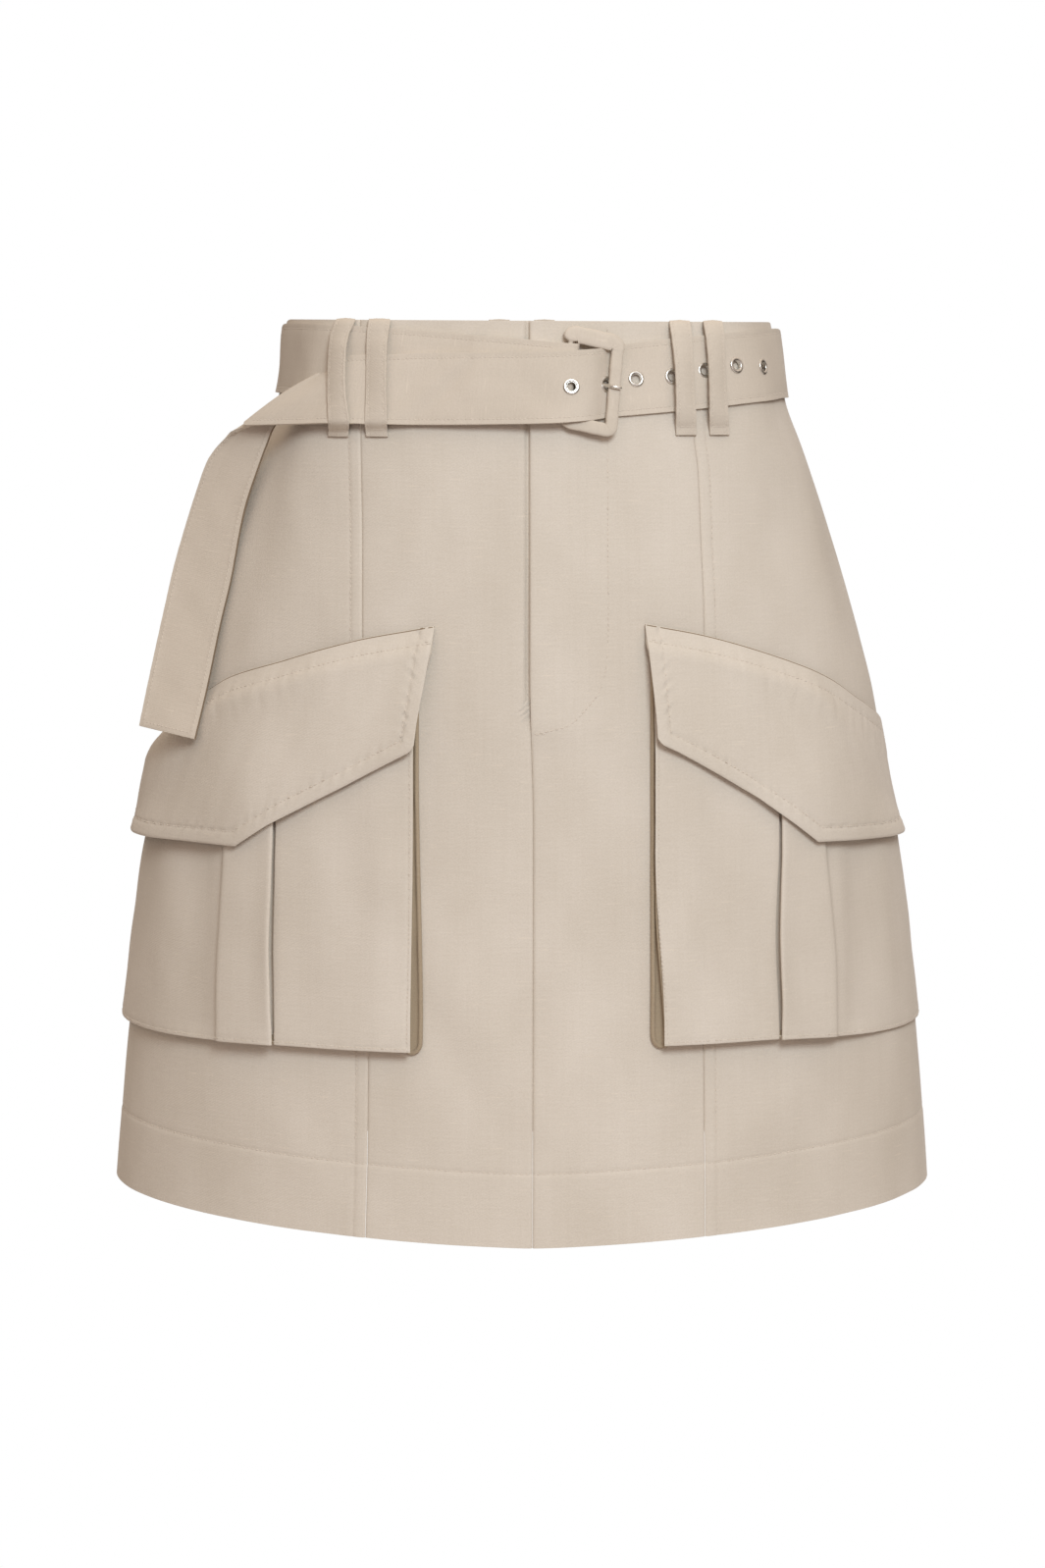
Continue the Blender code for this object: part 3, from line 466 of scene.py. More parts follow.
# %% [markdown]
# ## Stitches
# Lockstitch shows as a row of short rounded bars, each sunk a little at its ends. One is shaped
# from a sphere with few faces, then copied along each row; a row of stitches is one piece.

# %% One stitch
STITCH = (2.0, 0.62, 0.42)  # length, width and height in mm
STITCH_PITCH = 2.6
few = {"segments": 6, "ring_count": 4, "radius": 0.5}
bar = clean_add(bpy.ops.mesh.primitive_uv_sphere_add, rotation=(0, math.pi / 2, 0), **few)
bpy.ops.object.transform_apply(rotation=True)
bar.scale = STITCH
bpy.ops.object.transform_apply(scale=True)
STITCH_POINTS = np.array([v.co for v in bar.data.vertices])
STITCH_FACES = [tuple(f.vertices) for f in bar.data.polygons]
bpy.data.objects.remove(bar)
print("one stitch has", len(STITCH_FACES), "faces")


def unit(v):
    return v / np.maximum(np.linalg.norm(v, axis=-1, keepdims=True), 1e-9)


def stitch_rows(name, routes, size=1.0, pitch=STITCH_PITCH):
    """Rows of stitches; each route is (place, a, b) with place(a, b) giving points in mm."""
    points, faces = [], []
    for place, a, b in routes:
        a, b = np.broadcast_arrays(np.asarray(a, float), np.asarray(b, float))
        line = place(a, b)
        run = np.concatenate([[0], np.cumsum(np.linalg.norm(np.diff(line, axis=0), axis=1))])
        count = max(1, int(run[-1] / (pitch * size)))
        where = (np.arange(count) + 0.5) * run[-1] / count
        ca, cb = np.interp(where, run, a), np.interp(where, run, b)
        ahead, behind = ([np.interp(where + k, run, v) for v in (a, b)] for k in (0.6, -0.6))
        centre = place(ca, cb)
        along_run = unit(place(*ahead) - place(*behind))
        over_a = place(ca + 0.4, cb) - place(ca - 0.4, cb)
        out = unit(np.cross(over_a, place(ca, cb + 0.4) - place(ca, cb - 0.4)))
        side = unit(np.cross(out, along_run))
        for k in range(count):
            base = len(points) * len(STITCH_POINTS)
            shape = STITCH_POINTS * size
            turned = shape[:, :1] * along_run[k], shape[:, 1:2] * side[k], shape[:, 2:] * out[k]
            points.append(centre[k] + turned[0] + turned[1] + turned[2])
            faces += [tuple(base + v for v in face) for face in STITCH_FACES]
    mesh = bpy.data.meshes.new(name)
    mesh.from_pydata(np.concatenate(points) * MM, [], faces)
    mesh.shade_smooth()
    piece = bpy.data.objects.new(name, mesh)
    bpy.context.scene.collection.objects.link(piece)
    name_piece(piece, name, thread)
    print(name, len(points), "stitches")
    return piece


# %% [markdown]
# ## Body panels
# Two fronts, two side fronts and a back are sewn edge to edge. At a seam the cloth turns in, so
# each panel dips beside it; the left front laps over the right down the fly; the hem is turned
# up and stitched 36 mm above its edge. Rows and columns are closest where the shape is finest.

# %% Seams, the fly and the hem
CLOTH, HEM_CLOTH, SEAM_GAP = 1.2, 2.3, 0.05
# each seam as z and s
LEFT_SEAM = (
    (0, 81.5), (-56, 82.6), (-74, 84.6), (-109, 85.7),
    (-150, 86.6), (-357, 85.9), (-455, 86.8),
)
RIGHT_SEAM = (
    (0, -88.3), (-57, -87.6), (-101, -86.7),
    (-151, -86.0), (-360, -81.9), (-455, -83.2),
)
FLY_OVERLAP, FLY_UNDERLAP, FLY_END, FLY_LIFT = 2.0, 10.0, 201.0, 1.5
SEAM_STITCH = 6.0
FLY_ROW = (
    # z      s of the fly's stitch line
    (-201.0, -0.6),
    (-199.0, 8.0),
    (-196.9, 16.0),
    (-190.5, 23.8),
    (-178.6, 32.8),
    (-159.0, 36.3),
    (-120.0, 36.5),
    (0.0, 36.5),
)


def left_seam(z):
    return curve(LEFT_SEAM, z)


def right_seam(z):
    return curve(RIGHT_SEAM, z)


def centre_line(z):
    """The fly's edge, and the plain seam that carries on below it."""
    return mix(-FLY_OVERLAP, -0.2, smooth((-z - 170) / 80))


def fly_edge(z):
    return centre_line(z) + SEAM_GAP


def under_edge(z):
    return mix(FLY_UNDERLAP, centre_line(z) - SEAM_GAP, smooth((-z - FLY_END + 18) / 14))


def fly_lift(s, z):
    """The left front's fly stands over the right front, and gapes a little half way down."""
    over = 1 - smooth((s - 10) / 24)
    gape = 1.1 * np.exp(-(((z + 150) / 34) ** 2)) * (1 - smooth((s + 2) / 13))
    return (FLY_LIFT + gape) * over * (1 - smooth((-z - FLY_END + 7) / 19))


def seam_dip(distance, depth=0.85):
    return -depth * np.exp(-((distance / 0.55) ** 2)) - 0.18 * np.exp(-((distance / 2.2) ** 2))


def hem_relief(s, z, turn, phase=0.7):
    """The turned hem stands a little over the cloth above its stitches."""
    above = z - hem_at(turn) - HEM_DEPTH
    return furrow(above, s, phase, 0.26, 0.14, 11) + 0.22 * smooth(-above / 2)


def fly_row_distance(s, z):
    """Distance from the J-shaped row that closes the fly."""
    row = np.array([(curve(FLY_ROW, v), v) for v in np.linspace(-200.9, 0, 120)])
    gaps = np.hypot(s[..., None] - row[:, 0], z[..., None] - row[:, 1])
    return gaps.min(-1)


def front_left_height(s, z):
    turn = turn_at(s, z)
    n = fly_lift(s, z) + drape(s, z) + hem_relief(s, z, turn) + seam_dip(left_seam(z) - s, 0.5)
    n = n - 0.45 * np.exp(-(((s - fly_edge(z)) / 0.5) ** 2)) * (z > -FLY_END)
    n = n + furrow(fly_row_distance(s, z), z + s, 0.9, 0.2, 0.2, 8, 2.6) * (z > -FLY_END - 4)
    return n + (seam_dip(s - centre_line(z)) - 0.1) * smooth((-z - FLY_END + 2) / 10)


def front_right_height(s, z):
    turn = turn_at(s, z)
    n = drape(s, z) + hem_relief(s, z, turn) + seam_dip(s - right_seam(z), 0.5)
    lapped = 1 - smooth((-z - FLY_END + 12) / 16)
    n = n - 2.0 * np.exp(-(((s - centre_line(z) + 1.1) / 1.3) ** 2)) * lapped
    return n + (seam_dip(s - centre_line(z)) - 0.1) * smooth((-z - FLY_END + 2) / 10)


def side_height(side, seam):
    def height(s, z):
        turn = turn_at(s, z)
        from_seam = side * (s - seam(z))
        n = drape(s, z) + hem_relief(s, z, turn) + seam_dip(from_seam, 0.5)
        n = n + 0.25 * smooth(from_seam / 0.8) * (1 - smooth((from_seam - SEAM_STITCH + 0.6) / 1.5))
        n = n + furrow(from_seam - SEAM_STITCH, z, 1.0 + side, 0.26, 0.22, 8, 2.6)
        return n + seam_dip(side * (arc_at(side * SIDE, z) - s))

    return height


WAIST_LINES = (0, 0.4, 1.0, 2.0, 4.0)
# lines this far from the hem's edge, a seam and the fly's edge, in mm
HEM_LINES = (
    0, 0.35, 0.8, 1.6, 3, 6, 10, 15, 20, 25, 29, 32,
    33.8, 34.8, 35.5, 36.0, 36.5, 37.2, 38.2, 40,
)
SEAM_LINES = (0, 0.2, 0.5, 0.9, 1.5, 2.5, 4.0, 5.0, 5.6, 6.0, 6.4, 7.0, 8.5)
LAP_LINES = (0, 0.25, 0.6, 1.2, 2.2)
UNDERLAP_LINES = (
    *LAP_LINES, 4, 6, 8, 9, 9.6, 10.2, 10.8,
    11.2, 11.6, 12, 12.4, 12.8, 13.4, 14, 14.8, 16,
)
HEM_OVAL = (200, 145)  # about half the hem's width and depth
BACK_RADIUS = 205.0  # turns a distance on the back into an angle


def hem_wall(piece):
    """Solidify's weights: two layers in the turned hem, one above."""
    group = piece.vertex_groups.new(name="wall")
    for vertex in piece.data.vertices:
        x, y, z = (v / MM for v in vertex.co)
        above = z - hem_at(math.atan2(x / HEM_OVAL[0], -y / HEM_OVAL[1])) - HEM_DEPTH
        wall = mix(HEM_CLOTH, CLOTH, float(smooth(above + 0.5)))
        group.add([vertex.index], wall / HEM_CLOTH, "REPLACE")


def make_panel(name, edges, across, down, height):
    """Lay one body panel; edges are functions of z, or None for the back."""
    share, extra = across
    fall, drop = down
    if edges is None:
        turn = mix(SIDE, 2 * math.pi - SIDE, share) + extra / BACK_RADIUS
        turn = np.broadcast_to(turn, (len(fall), len(turn)))
        z = fall[:, None] * hem_at(turn) - drop[:, None]
        s = arc_round(turn, z)
        points = ring(turn, z, height(turn, s, z))
    else:
        first, second = edges
        level = -LENGTH + HEM_RISE
        ends = mix(first(level), second(level), share) + extra
        z = fall[:, None] * hem_at(turn_at(ends, level))[None] - drop[:, None]
        s = mix(first(z), second(z), share[None]) + extra[None]
        points = on_skirt(s, z, height(s, z))
    piece = lay_grid(points[::-1], np.stack([s, z], -1)[::-1])
    hem_wall(piece)
    give_wall(piece, HEM_CLOTH, bevel=0.3 / HEM_CLOTH, group="wall")
    piece.vertex_groups.clear()
    name_piece(piece, name + "_cloth", skirt_twill, [name])
    print(piece.name, len(piece.data.polygons), "faces")


left_side_height = side_height(1, left_seam)
right_side_height = side_height(-1, right_seam)
PANELS = (
    # piece, its two edges, lines across, heights
    (
        "front_left",
        (fly_edge, lambda z: left_seam(z) - SEAM_GAP),
        lines_across(LAP_LINES, 44, SEAM_LINES[:7]),
        front_left_height,
    ),
    (
        "front_right",
        (lambda z: right_seam(z) + SEAM_GAP, under_edge),
        lines_across(SEAM_LINES[:7], 44, UNDERLAP_LINES),
        front_right_height,
    ),
    (
        "side_front_left",
        (lambda z: left_seam(z) + SEAM_GAP, lambda z: arc_at(SIDE, z) - SEAM_GAP),
        lines_across(SEAM_LINES, 52, SEAM_LINES[:6]),
        left_side_height,
    ),
    (
        "side_front_right",
        (lambda z: -arc_at(SIDE, z) + SEAM_GAP, lambda z: right_seam(z) - SEAM_GAP),
        lines_across(SEAM_LINES[:6], 52, SEAM_LINES),
        right_side_height,
    ),
)
for name, edges, across, height in PANELS:
    make_panel(name, edges, across, lines_across(WAIST_LINES, 150, HEM_LINES), height)

# %% [markdown]
# The back is one piece. It doesn't need the front's detail, but it is finished as carefully:
# a stitched dart on each side takes in the waist, and soft creases run down from the seat.


# %% The back with its two darts
DART_PLACE, DART_LENGTH, DART_DEPTH = 85.0, 112.0, 0.55  # place in mm from the centre back


def back_height(turn, s, z):
    middle = arc_at(math.pi, z)
    n = drape(np.where(s > middle, s - 2 * middle, s), z) + hem_relief(s, z, turn, 2.2)
    for side in (-1, 1):
        off = np.abs(s - middle - side * DART_PLACE * (1 + z / 1500))
        n = n - DART_DEPTH * np.exp(-((off / 0.9) ** 2)) * smooth((DART_LENGTH + z) / 30)
    for edge in (SIDE, 2 * math.pi - SIDE):
        n = n + seam_dip(np.abs(turn - edge) * BACK_RADIUS)
    return n


back_across = lines_across(SEAM_LINES[:6], 170, SEAM_LINES[:6])
make_panel("back", None, back_across, lines_across(WAIST_LINES, 100, HEM_LINES), back_height)

# %% [markdown]
# ## Bellows pockets
# Each pocket is a face with one pleat, a folded strip (the gusset) that lets it stand off the
# skirt, and a two-layer flap sewn on above. The pleat is a real fold here: the cloth runs under
# its band, turns back and comes out over itself, so its edge throws a shadow.

# %% Sizes of the pockets
FLAP_TOP = (
    # s    z, on the wearer's left; the right one hangs a little lower at its inner end
    (47, -145.5),
    (55, -147.0),
    (88, -153.5),
    (130, -165.5),
    (160, -176.0),
    (184, -187.0),
    (215, -198.0),
    (260, -213.0),
)
# from here on 1 is the wearer's left and -1 the right
FLAP_BOTTOM = {
    1: (
        (53, -201.5), (58, -204.1), (69, -209.4), (79, -214.9), (89, -220.6), (110, -233.0),
        (125, -243.4), (143, -256.1), (172, -257.6), (205, -259.2), (270, -261.0),
    ),
    -1: (
        (50, -204.5), (56.5, -208.0), (74, -217.5), (92, -227.4), (110, -236.9),
        (130, -247.6), (148, -259.1), (182, -259.6), (210, -260.6), (270, -261.5),
    ),
}
FLAP_TIP = {1: 143.0, -1: 148.0}  # s of the flap's lower point, over the pleat
# the flap's inner corner above and below, the face's inner edge and its bottom, by side
POCKETS = {1: ("left", 54.5, 58.0, 58.3, -352.0), -1: ("right", 48.5, 56.5, 58.0, -355.2)}
# how much lower the face ends at its outer edge, and how far its inner edge curls back
BOTTOM_DROP, INNER_CURL = {1: 4.5, -1: 2.4}, {1: 4.8, -1: 1.2}
GUSSET_LINE = {1: (57.8, 57.9), -1: (56.6, 54.4)}  # s of the strip's inner fold, high and low
# how far the pleat's edges waver: the inner one high and in its middle, the outer high and low
PLEAT_BEND = {1: (-1.6, -2.4, -6.0, 0.5), -1: (2.6, 1.0, 1.2, 4.8)}
# the face's height over the skirt at its mouth and below, and the mouth's place under the flap
POCKET_LOW, POCKET_HIGH, MOUTH = 4.6, 7.5, 15.0
PLEAT_IN, PLEAT_OUT, PLEAT_RISE = 127.0, 157.5, 2.2
FACE_CLOTH, FLAP_CLOTH, FLAP_SEAT = 1.0, 1.8, 1.0
POCKET_OUTER, FLAP_OUTER = math.radians(93.0), math.radians(94.5)
FLAP_LOW_EDGE, FLAP_HIGH_EDGE = (float(arc_at(FLAP_OUTER, z)) for z in (-256, -209))
GUSSET_CORNER = 4.0
SIDE_LEVEL = {1: 2.0, -1: 4.4}  # the face's height at the side


def flap_top(side, s):
    lower = 2.7 if side < 0 else 0.3
    return curve(FLAP_TOP, s) - lower * (1 - smooth((np.asarray(s) - 125) / 50))


def flap_bottom(side, s):
    rows = np.array(FLAP_BOTTOM[side])
    return np.interp(s, rows[:, 0], rows[:, 1])


def face_bottom(side, s):
    return POCKETS[side][4] - BOTTOM_DROP[side] * smooth((np.asarray(s) - 110) / 110)


def face_inner(side, z):
    """The face's inner edge; it curls back towards its lower corner."""
    return POCKETS[side][3] + INNER_CURL[side] * smooth((-np.asarray(z) - 280) / 75)


def face_level(side, s, z):
    """How far the pocket's face stands off the skirt, its pleat left out."""
    below = flap_top(side, s) - z - MOUTH
    inward = 1 - np.clip((s - 60) / 190, 0, 1)
    front = POCKET_LOW + (POCKET_HIGH - POCKET_LOW) * inward * smooth(below / 55)
    at_side = mix(1.1, SIDE_LEVEL[side], smooth(below / 50))
    return mix(front, at_side, smooth((s - 155) / 65))


def pleat_place(side, z, x):
    """Where a line of the pleat runs; x is counted from the fold's edge, which wavers."""
    top_in, mid_in, top_out, low_out = PLEAT_BEND[side]
    edge = top_in + mid_in * np.exp(-(((z + 314) / 34) ** 2))
    far = mix(top_out, low_out, smooth((-z - 255) / 80))
    return PLEAT_IN + x + mix(edge, far, smooth((x - 8) / 18))


# %% The pocket's face and pleat
PLEAT_FOLD = (
    # from the fold's edge, height, share of the fold's lift
    (-5.0, 0.0, 0.0),
    (-1.7, 0.0, 0.0),
    (-1.0, -0.25, 0.0),
    (-0.45, -1.3, 0.0),
    (0.3, -2.2, 0.0),
    (2.0, -2.3, 0.0),
    (4.2, -0.9, 0.0),
    (4.7, -0.4, 0.0),
    (4.2, 0.12, 0.0),
    (2.4, 0.16, 0.35),
    (0.9, 0.18, 0.8),
    (0.1, 0.22, 1.0),
    (-0.35, 0.55, 1.0),
    (-0.52, 1.05, 1.0),
    (-0.42, 1.6, 1.0),
    (0.0, 2.0, 1.0),
    (0.7, 2.2, 0.95),
    (2.2, 2.25, 0.75),
    (4.5, 2.2, 0.45),
    (8.0, 2.2, 0.15),
    (12.0, 2.2, 0.0),
    (15.5, 2.2, 0.0),
    (19.0, 2.2, 0.0),
    (23.0, 2.2, 0.0),
    (26.5, 2.2, 0.0),
    (28.3, 2.15, 0.0),
    (29.4, 1.85, 0.0),
    (30.3, 1.25, 0.0),
    (31.1, 0.6, 0.0),
    (32.2, 0.2, 0.0),
    (34.0, 0.0, 0.0),
)


def pleat_lift(z, bottom):
    """The fold's edge stands off most in the pocket's lower half."""
    return 0.2 + 1.7 * np.exp(-(((z - bottom - 42) / 40) ** 2)) * smooth((z - bottom - 3) / 14)


def pleat_share(side, s, z):
    """The pleat's band lies flatter under the flap."""
    return 0.45 + 0.55 * smooth((flap_top(side, s) - z - MOUTH) / 50)


FACE_DENTS = (
    # s   half width  z  half length  lean  height
    (92, 11, -250, 50, 0.1, -0.5),
    (74, 7, -285, 55, 0, 0.45),
    (112, 9, -320, 45, 0, -0.35),
    (178, 10, -300, 60, 0, -0.7),
    (205, 12, -290, 70, 0, 0.5),
)


def face_wrinkles(side, s, z):
    """Soft dents in the face, pulled in along its stitched edges."""
    inner, bottom = face_inner(side, z), face_bottom(side, s)
    edge = furrow(s - inner - 2.0, z, 0.5 + side, 0.2, 0.2, 10, 3.0)
    edge = edge + furrow(z - bottom - 2.0, s, 1.2 + side, 0.2, 0.26, 9, 3.5)
    dent = 0.0
    for s0, wide, z0, long, lean, height in FACE_DENTS:
        along = (z - z0 - lean * (s - s0)) / long
        dent = dent + height * np.exp(-(((s - s0) / wide) ** 2) - along**2)
    crease = 0.3 * np.exp(-((s - 142 - side) ** 2)) * smooth((bottom + 20 - z) / 14)
    fall = -1.2 * smooth((s - 160) / 14) * (1 - smooth((s - 185) / 30))
    soft = (1.5 * dent + crease + fall) * smooth((z - bottom) / 12 + 0.3)
    return edge + soft + 0.2 * ripple(s * 0.7 + z, 63, side)


def make_face(side):
    word, _, _, _, bottom = POCKETS[side]
    fold = np.array(PLEAT_FOLD)
    near = np.array([0, 0.3, 0.8, 1.4, 2.0, 2.6, 3.4, 5.0, 7.5])
    levels, extra = lines_across((0, 0.4, 1.2, 3), 64, (0, 0.4, 0.9, 1.4, 2.0, 2.6, 3.4, 5, 7.5))
    rows_s, rows_z, rows_n = [], [], []
    for share, more in zip(levels, extra):
        reference = mix(-206.0, bottom, share)
        edge = arc_at(POCKET_OUTER, reference)
        inner, pleat = face_inner(side, reference), pleat_place(side, reference, fold[:, 0])
        first = np.concatenate([inner + near, np.linspace(inner + near[-1], pleat[0], 26)[1:-1]])
        last = np.linspace(pleat[-1], edge, 44)[1:]
        s = np.concatenate([first, pleat, last])
        high = flap_top(side, s) - MOUTH
        z = mix(high, face_bottom(side, s), share) - more
        rise = np.concatenate([0 * first, fold[:, 1], 0 * last])
        lift = np.concatenate([0 * first, fold[:, 2], 0 * last])
        band = rise * np.where(rise > 0.2, pleat_share(side, s, z), 1)
        n = face_level(side, s, z) + band + lift * pleat_lift(z, bottom)
        for from_edge in (s - inner, z - face_bottom(side, s)):
            n = n - 0.35 * np.exp(-((from_edge / 0.5) ** 2))
        rows_s.append(s)
        rows_z.append(z)
        rows_n.append(n)
    s, z, n = np.array(rows_s), np.array(rows_z), np.array(rows_n)
    n = n + drape(side * s, z) + face_wrinkles(side, s, z)
    if side < 0:
        s, z, n = s[:, ::-1], z[:, ::-1], n[:, ::-1]
    points = on_skirt(side * s, z, n)
    flat = np.cumsum(np.linalg.norm(np.diff(points[10], axis=0), axis=1))
    u = np.broadcast_to(np.concatenate([[0], flat]), s.shape)
    piece = give_wall(lay_grid(points[::-1], np.stack([u, z], -1)[::-1]), FACE_CLOTH)
    return name_piece(piece, "pocket_face_%s_cloth" % word, skirt_twill, ["pocket_face_" + word])


faces = {side: make_face(side) for side in (1, -1)}
print("pocket faces", [len(f.data.polygons) for f in faces.values()])


# %% The gusset: a folded strip swept round the face's edge
def gusset_profile(level, line, lip):
    """Middle of the strip seen end on: distance out from the face's edge, and height.

    It is pressed in under the face like a bellows; the fold at its lower edge stands up."""
    return (
        (-6.0, level - 3.0),
        (-3.2, level - 2.6),
        (-1.2, level - 1.8),
        (-0.7, level - 1.9),
        (-1.5, mix(1.2, level - 1.9, 0.86)),
        (-2.8, mix(1.2, level - 1.9, 0.6)),
        (-3.0, mix(1.2, level - 1.9, 0.3)),
        (-2.0, 1.15),
        (line - 2.6, 1.05),
        (line - 1.75, mix(1.1, lip, 0.25)),
        (line - 1.35, mix(1.1, lip, 0.8)),
        (line - 0.75, lip),
        (line - 0.2, mix(0.9, lip, 0.7)),
        (line, 0.85),
        (line - 0.6, 0.5),
        (line - 2.5, 0.5),
        (-7.0, 0.5),
    )


def make_gusset(side):
    word, _, _, inner, bottom = POCKETS[side]
    corner, stations = GUSSET_CORNER, []
    for z in np.linspace(flap_top(side, inner) - MOUTH, bottom + corner, 60):
        stations.append((float(face_inner(side, z)), z, -1.0, 0.0))
    low_in = float(face_inner(side, bottom))
    for turn in np.radians(np.linspace(12, 78, 7)):
        c, d = math.cos(turn), math.sin(turn)
        stations.append((low_in + corner * (1 - c), bottom + corner * (1 - d), -c, -d))
    edge = float(arc_at(POCKET_OUTER, bottom))
    for s in np.linspace(low_in + corner, edge - corner, 80):
        stations.append((s, float(face_bottom(side, s)), 0.0, -1.0))
    low = float(face_bottom(side, edge))
    for turn in np.radians(np.linspace(12, 78, 7)):
        c, d = math.cos(turn), math.sin(turn)
        stations.append((edge - corner * (1 - d), low + corner * (1 - c), d, -c))
    for z in np.linspace(low + corner, float(flap_top(side, edge)) - MOUTH, 50):
        stations.append((float(arc_at(POCKET_OUTER, z)), z, 1.0, 0.0))
    rows, uv, run, last = [], [], 0.0, None
    for s, z, out_s, out_z in stations:
        high_line, low_line = GUSSET_LINE[side]
        fold_line = mix(high_line, low_line, float(smooth((-z - 215) / 120)))
        inward = max(0.0, -out_s)
        line = mix(0.3, float(face_inner(side, z)) - fold_line, inward)
        lip = mix(1.1, 2.5 + 0.5 * float(ripple(z + s, 38, side)), inward)
        profile = np.array(gusset_profile(float(face_level(side, s, z)), line, lip))
        reach_s, reach_z = s + profile[:, 0] * out_s, z + profile[:, 0] * out_z
        n = profile[:, 1] + drape(side * reach_s, reach_z)
        rows.append(on_skirt(side * reach_s, reach_z, n))
        run += 0 if last is None else float(np.linalg.norm(rows[-1][11] - last))
        last = rows[-1][11]
        steps = np.linalg.norm(np.diff(rows[-1], axis=0), axis=1)
        width = np.concatenate([[0], np.cumsum(steps)])
        uv.append(np.stack([width, 0 * width + run], -1))
    points, uv = np.array(rows), np.array(uv)
    if side > 0:
        points, uv = points[::-1], uv[::-1]
    piece = lay_grid(points, uv)
    apply(piece, "SUBSURF", levels=1, render_levels=1)
    give_wall(piece, 0.85, 0.0, 0.3)
    # painted shade: the strip takes the darker twill, which stands in for the shade in its recess
    return name_piece(piece, "pocket_gusset_%s_cloth" % word, strip_painted_shade_twill, ["pocket_gusset_" + word])


gussets = {side: make_gusset(side) for side in (1, -1)}
print("gussets", [len(g.data.polygons) for g in gussets.values()])

# %% [markdown]
# ## Flaps
# A flap is two layers sewn round, turned and pressed, then stitched 7 mm inside its edge. The
# layers pull together there, and the stitching puckers most along the slanted edge, which is
# cut across the grain. Points are placed from the edges, so that the rows follow the stitches.

# %% The flaps
FLAP_ROW, TOP_ROW = 7.0, 8.0
FLAP_FALL = 75.0  # about the flap's height
# how far the flap's outer part stands off, and its lower corner beyond that, by side
FLAP_OUT, FLAP_END = {1: -1.6, -1: 6.2}, {1: 3.6, -1: 1.4}
FLAP_LINES_ABOVE = (0, 0.3, 0.8, 1.6, 3, 5, 6.4, 7.4, 8.0, 8.6, 9.6, 11)
FLAP_LINES_BELOW = (0, 0.3, 0.8, 1.6, 3, 4.8, 6.0, 7.0, 7.6, 8.2, 9.2, 11)
FLAP_LINES_INSIDE = np.array([0, 0.3, 0.8, 1.6, 3.0, 4.6, 5.8, 6.6, 7.2, 8.0, 9.4])
FLAP_LINES_OUTSIDE = np.array([7.8, 7.0, 6.2, 5.0, 3.6, 2.2, 1.2, 0.5, 0])
# the folded top edge is painted dark, a painted shadow line: how much its faces look up, and how near the
# top row they lie (mm)
RIM_LOOKS_UP, RIM_REACH = 0.6, 2.2


def flap_outline(side):
    """The flap's free edge from its inner top corner round to the outer one."""
    _, top_in, low_in, _, _ = POCKETS[side]
    along = (low_in, 80, 100, 122, FLAP_TIP[side], 172, 205, FLAP_LOW_EDGE - 6)
    bottom = [(s, float(flap_bottom(side, s))) for s in along]
    start, end = ((s, float(flap_top(side, s))) for s in (top_in, FLAP_HIGH_EDGE))
    return np.array([start, *bottom, (FLAP_LOW_EDGE, -254.0), end])


def line_distance(line, s, z):
    """Distance from a line of points, and how far along it the nearest place lies."""
    best, where, run = np.full(s.shape, 1e9), np.zeros(s.shape), 0.0
    for (s0, z0), (s1, z1) in zip(line, line[1:]):
        length = math.hypot(s1 - s0, z1 - z0)
        t = np.clip(((s - s0) * (s1 - s0) + (z - z0) * (z1 - z0)) / length**2, 0, 1)
        gap = np.hypot(s - s0 - t * (s1 - s0), z - z0 - t * (z1 - z0))
        where = np.where(gap < best, run + t * length, where)
        best = np.minimum(best, gap)
        run += length
    return best, where


def flap_level(side, s, z):
    """Height of the flap's outer face over the skirt."""
    drop = flap_top(side, s) - z
    over_pleat = np.exp(-(((s - 142) / 30) ** 2))
    clear = 0.3 + smooth((drop - MOUTH) / 60) * (1.1 + 1.9 * over_pleat)
    low = face_level(side, s, z) + 0.6 + clear + 0.45 * over_pleat
    low = low + 2.2 * np.exp(-(((s - 55) / 16) ** 2)) * smooth((drop - 6) / 34)
    below = smooth((drop + 1) / 21) * (1 - 0.3 * smooth((drop - 25) / 25))
    low = low + FLAP_OUT[side] * smooth((s - 165) / 70) * below
    low = low + FLAP_END[side] * smooth((s - 165) / 55) * smooth((drop - 40) / 25)
    outer = smooth((s - 140) / 60)
    away = smooth(drop / (14 + 12 * (side + 1) * outer))
    n = mix(FLAP_SEAT * (1 - 0.9 * outer), low, away) + FLAP_CLOTH
    gap, run = line_distance(flap_outline(side), s, z)
    n = n + furrow(gap - FLAP_ROW, run + 0.9 * gap, 0.3 + side, 0.34, 0.50, 6.5, 3.4)
    n = n + furrow(drop - TOP_ROW, s, 2.0 - side, 0.28, 0.30, 7.5, 3.0)
    short = 0.26 * ripple(s + 0.3 * drop, 9, side) * np.exp(-(((drop - 15) / 7) ** 2))
    n = n + short * smooth((s - 95) / 40) + 0.22 * smooth((FLAP_ROW - gap) / 2)
    n = n - 0.5 * np.exp(-((gap / 0.55) ** 2)) - 0.5 * np.exp(-((drop / 0.6) ** 2))
    n = n + 0.5 * np.exp(-(((s - 95) / 16) ** 2) - ((z + 185) / 22) ** 2)
    n = n - 0.4 * np.exp(-(((s - 180 - 0.3 * z) / 12) ** 2) - ((z + 215) / 25) ** 2)
    return n + 0.22 * ripple(s + 0.4 * z, 34, side) * smooth(gap / 14)


